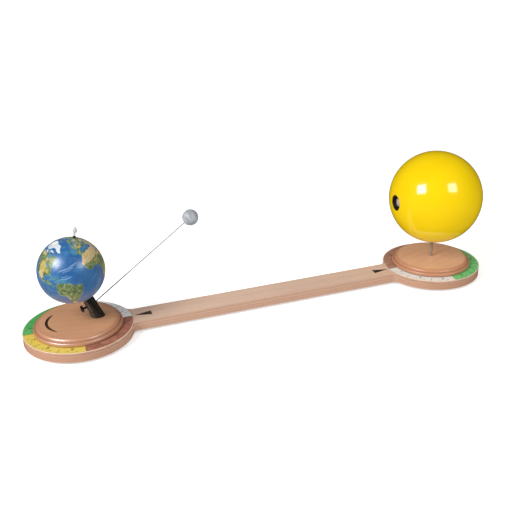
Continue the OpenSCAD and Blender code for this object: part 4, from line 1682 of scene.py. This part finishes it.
class Atlas:
    """Coasts and climates of a small physical globe, from coarse outlines.

    Each outline is a string of longitude,latitude pairs in degrees, east and north positive.
    """

    LAND: ClassVar[tuple[str, ...]] = (
        # North America with its islands
        "-168,66 -162,70 -156,71 -141,70 -128,70 -115,68 -108,68 -96,68 -94,72 -85,69 -82,67"
        " -87,64 -92,61 -90,59 -86,58 -83,56 -81,55 -81,57 -79,60 -79,62 -73,62 -69,59 -65,60"
        " -62,57 -57,53 -60,50 -66,50 -65,48 -61,46 -66,44 -70,43 -70,41 -74,40 -76,37 -76,35"
        " -81,31 -80,26 -82,28 -84,30 -90,29 -95,29 -97,26 -97,22 -94,18 -90,21 -87,21 -88,17"
        " -84,15 -83,11 -80,9 -77,8 -80,7 -83,8 -87,12 -92,14 -96,16 -102,18 -105,20 -106,23"
        " -109,26 -113,31 -114,31 -111,26 -110,23 -113,27 -116,31 -118,34 -121,35 -124,40"
        " -124,46 -123,49 -128,51 -131,55 -136,58 -146,60 -152,59 -158,56 -164,55 -158,58"
        " -165,61 -165,64 -161,65",
        "-80,73 -72,71 -67,68 -62,66 -65,63 -72,65 -73,68 -79,70 -89,71",
        "-118,73 -105,73 -102,69 -114,69",
        "-90,77 -78,77 -65,82 -75,83 -92,81",
        "-59,48 -53,47 -55,51",
        "-73,78 -60,82 -35,83 -18,80 -20,74 -24,70 -32,68 -40,65 -43,60 -48,61 -53,66 -51,70"
        " -56,74 -66,76",
        "-85,22 -80,23 -74,20 -78,20 -82,22",
        "-74,19 -70,20 -68,18 -72,18",
        # South America
        "-77,8 -72,12 -65,10 -60,8 -52,5 -50,0 -44,-2 -35,-6 -37,-11 -39,-17 -41,-22 -48,-26"
        " -49,-29 -54,-34 -58,-34 -57,-38 -62,-39 -65,-42 -66,-46 -69,-50 -68,-54 -73,-53"
        " -75,-47 -73,-40 -73,-35 -71,-29 -70,-19 -76,-14 -81,-6 -80,-2 -80,1 -77,4",
        # Africa
        "-6,36 0,36 10,37 11,34 15,32 20,31 20,33 25,31 30,31 32,31 32,30 35,25 37,21 39,16"
        " 43,11 51,12 48,5 42,-1 39,-6 40,-12 35,-20 35,-24 32,-28 28,-33 20,-35 18,-33 15,-26"
        " 12,-18 13,-11 12,-5 9,0 9,4 5,5 1,6 -4,5 -8,4 -13,8 -16,12 -17,15 -16,19 -17,22 -13,27"
        " -10,31",
        "44,-16 49,-12 50,-16 47,-25 44,-24",
        # Europe and Asia
        "-9,43 -9,37 -5,36 -2,37 0,39 3,42 6,43 9,44 12,42 16,38 17,39 18,40 14,42 12,44 13,45"
        " 15,44 19,41 20,39 22,37 24,38 23,40 26,41 27,38 28,36 31,36 36,36 35,33 34,31 33,28"
        " 35,29 35,28 39,21 43,15 43,13 52,16 57,19 60,22 56,26 51,24 50,27 48,30 51,28 54,27"
        " 57,27 61,25 67,25 70,21 73,19 74,13 77,8 80,13 82,16 87,21 91,22 94,16 97,16 98,9"
        " 101,3 103,1 103,4 100,9 100,13 105,9 109,11 106,18 108,22 114,22 119,25 122,30 119,35"
        " 122,37 118,39 122,40 125,39 126,35 129,35 127,39 132,43 140,48 141,53 136,54 143,59"
        " 155,59 157,57 156,51 162,55 164,60 171,60 179,62 190,66 180,69 170,70 160,70 150,71"
        " 140,72 130,71 113,74 105,77 95,76 80,73 70,73 68,68 60,69 54,68 44,68 44,66 38,64"
        " 33,67 41,67 33,69 26,71 20,70 13,66 5,62 5,59 10,59 12,56 16,57 18,60 22,65 25,65"
        " 21,61 23,60 29,60 24,59 24,57 21,56 20,54 14,54 10,54 10,57 8,56 9,54 4,52 1,50 -1,49"
        " -5,48 -1,46 -2,43",
        "-5,50 1,51 2,53 -1,55 -2,58 -4,59 -6,57 -5,55 -3,54 -5,53 -3,51",
        "-6,52 -10,52 -9,54 -7,55 -6,54",
        "-24,65 -22,64 -18,63 -14,65 -16,66 -21,66",
        "11,79 17,77 27,80 18,80",
        "52,71 57,71 68,77 60,76",
        "130,32 135,34 140,35 142,39 141,41 145,43 142,45 140,42 139,38 136,37 131,34",
        "142,46 144,49 143,54 142,51",
        "120,16 122,18 124,13 126,8 125,6 122,8",
        "109,1 113,3 117,7 119,5 117,1 116,-4 110,-3",
        "95,5 98,4 103,-1 106,-5 102,-4 98,1",
        "105,-6 111,-6 114,-8 109,-8",
        "119,1 125,1 121,-1 123,-4 120,-5",
        "131,-1 136,-2 141,-3 147,-6 150,-10 143,-9 138,-8 133,-4",
        "80,9 82,7 80,6",
        # Australia, New Zealand, Antarctica
        "114,-22 114,-26 115,-33 118,-35 124,-33 131,-31 135,-35 138,-33 140,-38 146,-39 150,-37"
        " 153,-29 149,-21 145,-15 142,-11 141,-16 139,-17 135,-15 136,-12 131,-12 128,-15"
        " 122,-18",
        "145,-41 148,-41 147,-43",
        "173,-35 178,-38 175,-41 174,-39",
        "172,-41 174,-42 170,-46 167,-46",
        "-180,-78 -160,-78 -150,-77 -120,-74 -100,-73 -75,-73 -65,-67 -58,-63 -62,-68 -62,-75"
        " -40,-78 -25,-76 -10,-71 10,-70 35,-69 50,-67 70,-68 80,-67 110,-66 135,-66 150,-68"
        " 170,-72 165,-78 180,-78 180,-90 -180,-90",
    )
    WATER: ClassVar[tuple[str, ...]] = (
        "28,41 33,42 38,41 41,42 38,45 36,45 33,44 33,46 30,46 28,43",
        "49,46 53,46 53,42 54,37 50,37 49,41 47,43",
        "-92,47 -88,49 -84,46 -88,47",
        "-87,42 -86,44 -88,45 -84,46 -80,45 -82,43 -84,45",
        "32,0 34,0 33,-2",
    )
    # Middle longitude and latitude, reach east and north, and strength of each region
    DRY: ClassVar[tuple[tuple[float, ...], ...]] = (
        (10, 25, 36, 9, 1.1),
        (-118, 67, 26, 6, 0.55),
        (-76, 53, 9, 7, 0.42),
        (-89, 55, 7, 5, 0.6),
        (18, 11, 8, 4, 0.36),
        (40, 47, 12, 6, 0.5),
        (14, 51, 22, 9, 0.42),
        (32, 60, 20, 8, 0.35),
        (36, 33, 8, 6, 0.8),
        (46, 24, 12, 10, 1.0),
        (32, 15, 12, 5, 0.6),
        (60, 32, 13, 8, 0.8),
        (96, 42, 24, 8, 0.8),
        (72, 27, 6, 5, 0.8),
        (20, -24, 8, 8, 0.9),
        (132, -25, 16, 8, 1.0),
        (-108, 31, 9, 9, 0.8),
        (-69, -43, 5, 10, 0.7),
        (-69, -22, 3, 8, 0.5),
        (46, 6, 6, 7, 0.8),
        (-40, -9, 4, 5, 0.25),
    )
    HIGH: ClassVar[tuple[tuple[float, ...], ...]] = (
        (-101, 44, 13, 12, 0.72),
        (-90, 37, 10, 6, 0.4),
        (-135, 69, 10, 4, 0.8),
        (-70, -20, 4, 14, 0.36),
        (-67, 1, 5, 5, 0.24),
        (-47, -17, 9, 8, 0.2),
        (7, 23, 5, 3, 0.6),
        (17, 21, 4, 3, 0.7),
        (10, 11, 6, 3, 0.5),
        (86, 33, 16, 6, 1.0),
        (70, 38, 9, 6, 0.8),
        (100, 50, 18, 8, 0.5),
        (38, 8, 6, 8, 0.8),
        (28, -14, 9, 12, 0.45),
        (10, 46, 7, 2, 0.7),
        (-4, 40, 4, 3, 0.4),
        (-2, 32, 9, 2, 0.5),
        (42, 40, 10, 4, 0.6),
        (128, 62, 20, 8, 0.35),
    )
    ICE: ClassVar[tuple[tuple[float, ...], ...]] = (
        (-41, 73, 19, 13, 1.6),
        (-80, 80, 26, 8, 1.2),
        (-74, 71, 16, 6, 0.9),
        (-100, 72, 18, 5, 0.6),
        (-19, 65, 4, 2, 0.4),
        (60, 76, 8, 4, 0.7),
        (20, 79, 9, 4, 0.9),
        (100, 77, 16, 4, 0.6),
    )
    SHOAL: ClassVar[tuple[tuple[float, ...], ...]] = (
        (-24, 54, 14, 8, 0.28),
        (-12, 45, 8, 7, 0.85),
        (-36, 40, 20, 10, 0.12),
        (-72, 22, 14, 6, 0.45),
        (-63, 13, 9, 5, 0.48),
        (-84, 60, 9, 6, 0.9),
        (-90, 5, 14, 12, 0.35),
        (3, 56, 8, 6, 0.7),
        (15, 38, 14, 4, 0.5),
    )
    # First and last longitude, latitude at both, and strength of each pale sea current
    CURRENTS: ClassVar[tuple[tuple[float, ...], ...]] = (
        (-66, -22, 29, 29, 0.8),
        (-58, -33, 25.5, 25.5, 0.45),
        (-30, -18, 22, 18, 0.3),
        (-66, -44, 16, 13.2, 0.6),
        (-62, -49, 19, 17, 0.45),
        (-78, -66, 14.5, 15.5, 0.4),
        (-74, -60, 33, 37, 0.3),
        (-22, -2, -10, -7, 0.2),
        (-8, 14, -25, -18, 0.45),
    )
    CURRENT_SWING: ClassVar[float] = 0.6
    CURRENT_WAVES: ClassVar[float] = 9.0
    CURRENT_TAPER: ClassVar[float] = 6.0
    CURRENT_HALF: ClassVar[float] = 0.55
    REGION_FALL: ClassVar[float] = 1.5
    TINY: ClassVar[float] = 1e-9

    @staticmethod
    def wrapped(lon: np.ndarray) -> np.ndarray:
        """Returns longitudes, or steps between them, brought between -180 and 180."""
        return (lon + 180.0) % 360.0 - 180.0

    @classmethod
    def currents(cls, lon: np.ndarray, lat: np.ndarray) -> np.ndarray:
        """Gives how strongly the pale sea currents are printed.

        Args:
            lon: Longitudes of the places.
            lat: Latitudes of the places.

        Returns:
            Share of the current's colour at each place.
        """
        value = np.zeros(len(lon))
        for west, east, start, end, strength in cls.CURRENTS:
            share = (lon - west) / (east - west)
            swing = cls.CURRENT_SWING * np.sin(share * cls.CURRENT_WAVES)
            middle = start + (end - start) * share + swing
            ends = np.clip(share * cls.CURRENT_TAPER, 0.0, 1.0)
            ends *= np.clip((1.0 - share) * cls.CURRENT_TAPER, 0.0, 1.0)
            off = (lat - middle) / cls.CURRENT_HALF
            value = np.maximum(value, strength * ends * np.exp(-(off**2)))
        return value

    @staticmethod
    def corners(outline: str) -> np.ndarray:
        """Reads one outline as rows of longitude and latitude."""
        return np.array([[float(v) for v in pair.split(",")] for pair in outline.split()])

    @staticmethod
    def inside(outline: np.ndarray, lon: np.ndarray, lat: np.ndarray) -> np.ndarray:
        """Tells which places lie inside an outline.

        Args:
            outline: Corners of the outline.
            lon: Longitudes of the places.
            lat: Latitudes of the places.

        Returns:
            True where a place is inside.
        """
        found = np.zeros(len(lon), bool)
        for shift in (0.0, 360.0):
            crossed = np.zeros(len(lon), bool)
            for (x1, y1), (x2, y2) in zip(outline, np.roll(outline, -1, axis=0)):
                spans = (y1 > lat) != (y2 > lat)
                if y1 != y2:
                    crossed ^= spans & (lon + shift < x1 + (lat - y1) * (x2 - x1) / (y2 - y1))
            found |= crossed
        return found

    @classmethod
    def distance(cls, outline: np.ndarray, lon: np.ndarray, lat: np.ndarray) -> np.ndarray:
        """Gives how far places lie from an outline.

        Args:
            outline: Corners of the outline.
            lon: Longitudes of the places.
            lat: Latitudes of the places.

        Returns:
            Distances in degrees.
        """
        squeeze = np.cos(np.radians(lat))
        nearest = np.full(len(lon), 180.0)
        for (x1, y1), (x2, y2) in zip(outline, np.roll(outline, -1, axis=0)):
            ax = cls.wrapped(x1 - lon) * squeeze
            ay = y1 - lat
            bx, by = (x2 - x1) * squeeze, y2 - y1
            share = -(ax * bx + ay * by) / (bx * bx + by * by + cls.TINY)
            share = np.clip(share, 0.0, 1.0)
            nearest = np.minimum(nearest, np.hypot(ax + share * bx, ay + share * by))
        return nearest

    @classmethod
    def coast(cls, lon: np.ndarray, lat: np.ndarray) -> np.ndarray:
        """Gives the signed distance to the coast.

        Args:
            lon: Longitudes of the places.
            lat: Latitudes of the places.

        Returns:
            Degrees from the coast, positive on land.
        """
        level = np.full(len(lon), -180.0)
        for outline in map(cls.corners, cls.LAND):
            away = cls.distance(outline, lon, lat)
            level = np.maximum(level, np.where(cls.inside(outline, lon, lat), away, -away))
        for outline in map(cls.corners, cls.WATER):
            away = cls.distance(outline, lon, lat)
            level = np.minimum(level, np.where(cls.inside(outline, lon, lat), -away, away))
        return level

    @classmethod
    def region(
        cls, spots: Sequence[Sequence[float]], lon: np.ndarray, lat: np.ndarray
    ) -> np.ndarray:
        """Gives a climate value from soft round regions.

        Args:
            spots: Middle, reach and strength of each region.
            lon: Longitudes of the places.
            lat: Latitudes of the places.

        Returns:
            The strongest region's value at each place.
        """
        value = np.zeros(len(lon))
        for east, north, wide, tall, strength in spots:
            x = cls.wrapped(lon - east) / wide
            y = (lat - north) / tall
            fall = np.exp(-((x * x + y * y) ** cls.REGION_FALL))
            value = np.maximum(value, strength * fall)
        return value


@dataclass
class Globe(Assembly):
    """Varnished map globe, its pole bushes and the observer figure.

    Latitudes and longitudes of the ice, and the ragged coast, are degrees.
    """

    wears = (
        (Finishes.nylon, ("north_bush", "south_bush")),
        (Finishes.white, ("figure_body",)),
        (Finishes.black, ("figure_foot",)),
    )
    centre: Vector = field(default_factory=lambda: Vector((-0.74, 0.0, 0.1348)))
    radius: float = 59.5 * MM
    wall: float = 2.2 * MM
    tilt: float = math.radians(20.5)
    greenwich: float = math.radians(-45.2)
    bush_radius: float = 6.02 * MM
    seam_depth: float = 0.1 * MM
    seam_degrees: float = 0.14
    segments: int = 360
    rings: int = 169
    inner_rings: int = 15
    ragged_scale: float = 90.0
    ragged_fractal: tuple[float, float, int] = (0.9, 2.0, 5)
    ragged_degrees: float = 1.1
    south_ice: float = -64.0
    south_ice_strength: float = 1.5
    north_ice: float = 66.0
    north_ice_fade: float = 14.0
    north_ice_most: float = 0.55
    pack_latitude: float = 78.5
    pack_swing: float = 4.5
    pack_longitude: float = -115.0
    pack_fade: float = 4.0

    def build(self) -> None:
        """Makes the printed shell in place of the two plain halves."""
        top = math.degrees(math.acos(self.bush_radius / self.radius))
        lats = np.linspace(top, -top, self.rings)
        seam = np.array([self.seam_degrees, -self.seam_degrees])
        lats = np.sort(np.concatenate([lats, seam]))[::-1]
        sunk = np.abs(lats) < self.seam_degrees / 2.0
        reach = np.where(sunk, self.radius - self.seam_depth, self.radius)
        outer = arc(reach, np.radians(lats))
        deep = self.radius - self.wall
        low = math.acos(self.bush_radius / deep)
        inner = arc(deep, np.linspace(-low, low, self.inner_rings))
        frame = Matrix.Translation(self.centre) @ Matrix.Rotation(-self.tilt, 4, "Y")
        frame = frame @ Matrix.Rotation(self.greenwich, 4, "Z")
        points, faces = lathe(np.concatenate([outer, inner]), self.segments, frame)
        mesh = make_mesh("globe_shell", points, faces)
        self.chart(mesh, lats)
        halves = ["globe_north_half", "globe_south_half"]
        make_piece("globe_shell", mesh, Body.GLOBE, Finishes.globe, halves)

    def chart(self, mesh: bpy.types.Mesh, lats: np.ndarray) -> None:
        """Writes coast and climate values on the shell.

        Args:
            mesh: The shell.
            lats: Latitudes of its outer rings, from the north.
        """
        count = len(lats) * self.segments
        lat = np.repeat(lats, self.segments)
        lon = np.tile(np.linspace(0.0, 360.0, self.segments, endpoint=False), len(lats))
        lon = Atlas.wrapped(lon)
        places = [vertex.co * self.ragged_scale for vertex in mesh.vertices[:count]]
        ragged = np.array([noise.fractal(place, *self.ragged_fractal) for place in places])
        coast = Atlas.coast(lon, lat) + self.ragged_degrees * ragged
        south = (lat < self.south_ice) * self.south_ice_strength
        north = np.clip((lat - self.north_ice) / self.north_ice_fade, 0.0, self.north_ice_most)
        ice = np.maximum(Atlas.region(Atlas.ICE, lon, lat), np.maximum(south, north))
        swing = self.pack_swing * np.cos(np.radians(lon - self.pack_longitude))
        pack_edge = self.pack_latitude - swing
        values = {
            "coast": coast,
            "dry": Atlas.region(Atlas.DRY, lon, lat),
            "high": Atlas.region(Atlas.HIGH, lon, lat),
            "ice": ice,
            "shoal": Atlas.region(Atlas.SHOAL, lon, lat),
            "pack": np.clip((lat - pack_edge) / self.pack_fade, -1.0, 1.0),
            "ridge": Atlas.currents(lon, lat),
        }
        for name, value in values.items():
            whole = np.zeros(len(mesh.vertices), np.float32)
            whole[:count] = value
            layer = mesh.attributes.new(name, "FLOAT", "POINT")
            layer.data.foreach_set("value", whole)


@dataclass
class Sun(Assembly):
    """Enamelled lamp sun on its post."""

    wears = (
        (Finishes.rod, ("sun_rod",)),
        (
            Finishes.lamp,
            ("rod_grommet", "rod_saddle", "lamp_tube", "lamp_bezel", "tail_switch"),
        ),
        (Finishes.lens, ("lamp_lens",)),
        (Finishes.mirror, ("lamp_reflector",)),
        (Finishes.led, ("lamp_led",)),
        (Finishes.cells, ("battery_cells",)),
        (Finishes.screw, ("battery_spring",)),
        (Finishes.red, ("lamp_button",)),
    )
    centre: Vector = field(default_factory=lambda: Vector((0.0, 0.0, 0.1679)))
    radius: float = 94.0 * MM
    wall: float = 2.5 * MM
    port_radius: float = 16.02 * MM
    lip: float = 0.7 * MM
    segments: int = 180
    rings: int = 121
    inner_rings: int = 25
    lip_steps: int = 5

    def build(self) -> None:
        """Turns the enamelled shell with rounded lips at both lamp ports.

        The shell lies on its side, so its round stretches are measured from the lamp's axis.
        """
        lip_angle = math.asin((self.port_radius + self.lip) / self.radius)
        sweep = np.linspace(lip_angle, math.pi - lip_angle, self.rings)
        outer = arc(self.radius, sweep)[:, ::-1]
        deep = self.radius - self.wall
        back = math.asin(self.port_radius / deep)
        inner = arc(deep, np.linspace(math.pi - back, back, self.inner_rings))[:, ::-1]
        edge = outer[0]
        steps = np.linspace(0.0, math.pi / 2.0, self.lip_steps + 1)[1:]
        start = np.stack(
            [edge[0] - self.lip * np.sin(steps), edge[1] - self.lip * (1.0 - np.cos(steps))], axis=1
        )
        last = start * np.array([1.0, -1.0])
        profile = np.concatenate([start[::-1], outer, last, inner])
        frame = Matrix.Translation(self.centre) @ Matrix.Rotation(math.pi / 2.0, 4, "Y")
        points, faces = lathe(profile, self.segments, frame)
        mesh = make_mesh("sun_enamel_shell", points, faces)
        mesh.set_sharp_from_angle(angle=SHARP_EDGE)
        make_piece("sun_enamel_shell", mesh, Body.SUN, Finishes.sun, ["sun_shell"])


@dataclass(frozen=True)
class Lamp:
    """One soft box: its place, what it faces, its width, its power and its roll."""

    name: str
    place: Point
    target: Point
    width: float
    watts: float
    roll: float

    def build(self) -> None:
        """Hangs the lamp."""
        light = bpy.data.lights.new(self.name, "AREA")
        light.shape = "SQUARE"
        light.size = self.width
        light.energy = self.watts
        holder = bpy.data.objects.new(self.name, light)
        way = Vector(self.target) - Vector(self.place)
        holder.location = self.place
        aim = way.to_track_quat("-Z", "Y") @ Quaternion((0.0, 0.0, 1.0), self.roll)
        holder.rotation_euler = aim.to_euler()
        bpy.context.scene.collection.objects.link(holder)


@dataclass
class Studio:
    """Pale floor, two soft boxes, an even white room and the camera."""

    lamps: tuple[Lamp, ...] = (
        Lamp(
            "left_box",
            place=(-2.62, -0.75, 1.79),
            target=(-0.52, 0.0, 0.07),
            width=1.11,
            watts=63.0,
            roll=0.38,
        ),
        Lamp(
            "right_box",
            place=(0.46, -1.64, 1.40),
            target=(-0.1, 0.0, 0.1),
            width=0.74,
            watts=13.0,
            roll=-0.26,
        ),
    )
    fill: float = 0.48
    mirror_fill: float = 0.01
    seen_fill: float = 1.0
    lift: float = 0.45
    far_lift: float = 0.58
    far_from: float = 1.2
    far_full: float = 3.2
    floor_half: float = 12.0
    floor_drop: float = 0.2 * MM
    floor_tone: Tone = (244, 244, 243)
    floor_mirror: Tone = (36, 34, 32)
    azimuth: float = math.radians(-19.64)
    elevation: float = math.radians(24.16)
    roll: float = math.radians(-1.275)
    focal_pixels: float = 759.83
    image_pixels: float = 520.0
    sensor: float = 36.0
    eye: Point = (-0.8360, -1.2643, 0.6949)
    far_clip: float = 100.0

    def build(self) -> None:
        """Sets up the floor, the room, the lamps and the camera."""
        self.build_floor()
        self.build_room()
        for lamp in self.lamps:
            lamp.build()
        self.build_camera()

    def build_floor(self) -> None:
        """Lays the pale floor, which glossy pieces mirror dimly and which pales far away."""
        half, level = self.floor_half, -self.floor_drop
        signs = ((-1.0, -1.0), (1.0, -1.0), (1.0, 1.0), (-1.0, 1.0))
        corners = [(x * half, y * half, level) for x, y in signs]
        mesh = bpy.data.meshes.new("floor")
        mesh.from_pydata(corners, [], [(0, 1, 2, 3)])
        floor = bpy.data.objects.new("floor", mesh)
        bpy.context.scene.collection.objects.link(floor)
        material = bpy.data.materials.new("floor_paper")
        graph = Graph.blank(material)
        path = graph.add("ShaderNodeLightPath").outputs
        paper = graph.add("ShaderNodeBsdfDiffuse", {"Color": linear(self.floor_tone)})
        dim = graph.add("ShaderNodeBsdfDiffuse", {"Color": linear(self.floor_mirror)})
        feeds = {0: path["Is Glossy Ray"], 1: paper.outputs[0], 2: dim.outputs[0]}
        lit = graph.add("ShaderNodeMixShader", feeds)
        x, y, _ = graph.split(graph.place())
        away = graph.radius(x, y)
        lift = graph.span(away, self.far_from, self.far_full, self.lift, self.far_lift)
        strength = graph.math("MULTIPLY", path["Is Camera Ray"], lift)
        glow = graph.add("ShaderNodeEmission", {"Strength": strength})
        both = graph.add("ShaderNodeAddShader", {0: lit.outputs[0], 1: glow.outputs[0]})
        graph.add("ShaderNodeOutputMaterial", {"Surface": both.outputs[0]})
        mesh.materials.append(material)

    def build_room(self) -> None:
        """Makes the room: white to the camera, an even fill, and dim in reflections."""
        room = bpy.data.worlds.new("white_room")
        bpy.context.scene.world = room
        graph = Graph.blank(room)
        path = graph.add("ShaderNodeLightPath").outputs
        pure = (1.0, 1.0, 1.0, 1.0)
        even, dim, white = (
            graph.add("ShaderNodeBackground", {"Color": pure, "Strength": strength}).outputs[0]
            for strength in (self.fill, self.mirror_fill, self.seen_fill)
        )
        feeds = {0: path["Is Glossy Ray"], 1: even, 2: dim}
        unseen = graph.add("ShaderNodeMixShader", feeds).outputs[0]
        clear = graph.math("MAXIMUM", path["Is Camera Ray"], path["Is Transmission Ray"])
        both = graph.add("ShaderNodeMixShader", {0: clear, 1: unseen, 2: white})
        graph.add("ShaderNodeOutputWorld", {"Surface": both.outputs[0]})

    def build_camera(self) -> None:
        """Places the camera at the photograph's viewpoint."""
        a, e, r = self.azimuth, self.elevation, self.roll
        back = Vector((math.sin(a) * math.cos(e), -math.cos(a) * math.cos(e), math.sin(e)))
        level = Vector((math.cos(a), math.sin(a), 0.0))
        upright = back.cross(level)
        right = level * math.cos(r) + upright * math.sin(r)
        up = upright * math.cos(r) - level * math.sin(r)
        lens = bpy.data.cameras.new("camera")
        lens.sensor_width = self.sensor
        lens.lens = self.focal_pixels / self.image_pixels * self.sensor
        lens.clip_end = self.far_clip
        camera = bpy.data.objects.new("camera", lens)
        turn = Matrix((right, up, back)).transposed().to_4x4()
        camera.matrix_world = Matrix.Translation(Vector(self.eye)) @ turn
        bpy.context.scene.collection.objects.link(camera)
        bpy.context.scene.camera = camera


def clear_scene() -> None:
    """Removes whatever a new file holds."""
    for thing in list(bpy.data.objects):
        bpy.data.objects.remove(thing)


def main() -> None:
    """Loads the frame, builds the studio, and dresses and builds each sub-assembly."""
    logging.basicConfig(level=logging.INFO, format="%(name)s: %(message)s")
    clear_scene()
    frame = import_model()
    Studio().build()
    bpy.context.scene.view_settings.view_transform = "Standard"
    earth = Vector(Finishes.EARTH_XY)
    parts: list[Assembly] = [
        Foot(),
        Arm(),
        SeasonDial("sun", Body.BASE, Vector(), math.pi, Finishes.sun_plate, Finishes.sun_disc),
        SeasonDial("earth", Body.TABLE, earth, 0.0, Finishes.earth_plate, Finishes.earth_disc),
        Turntable(),
        MoonArm(),
        Globe(),
        Sun(),
    ]
    for part in parts:
        part.dress()
        part.build()


if __name__ == "__main__":
    main()
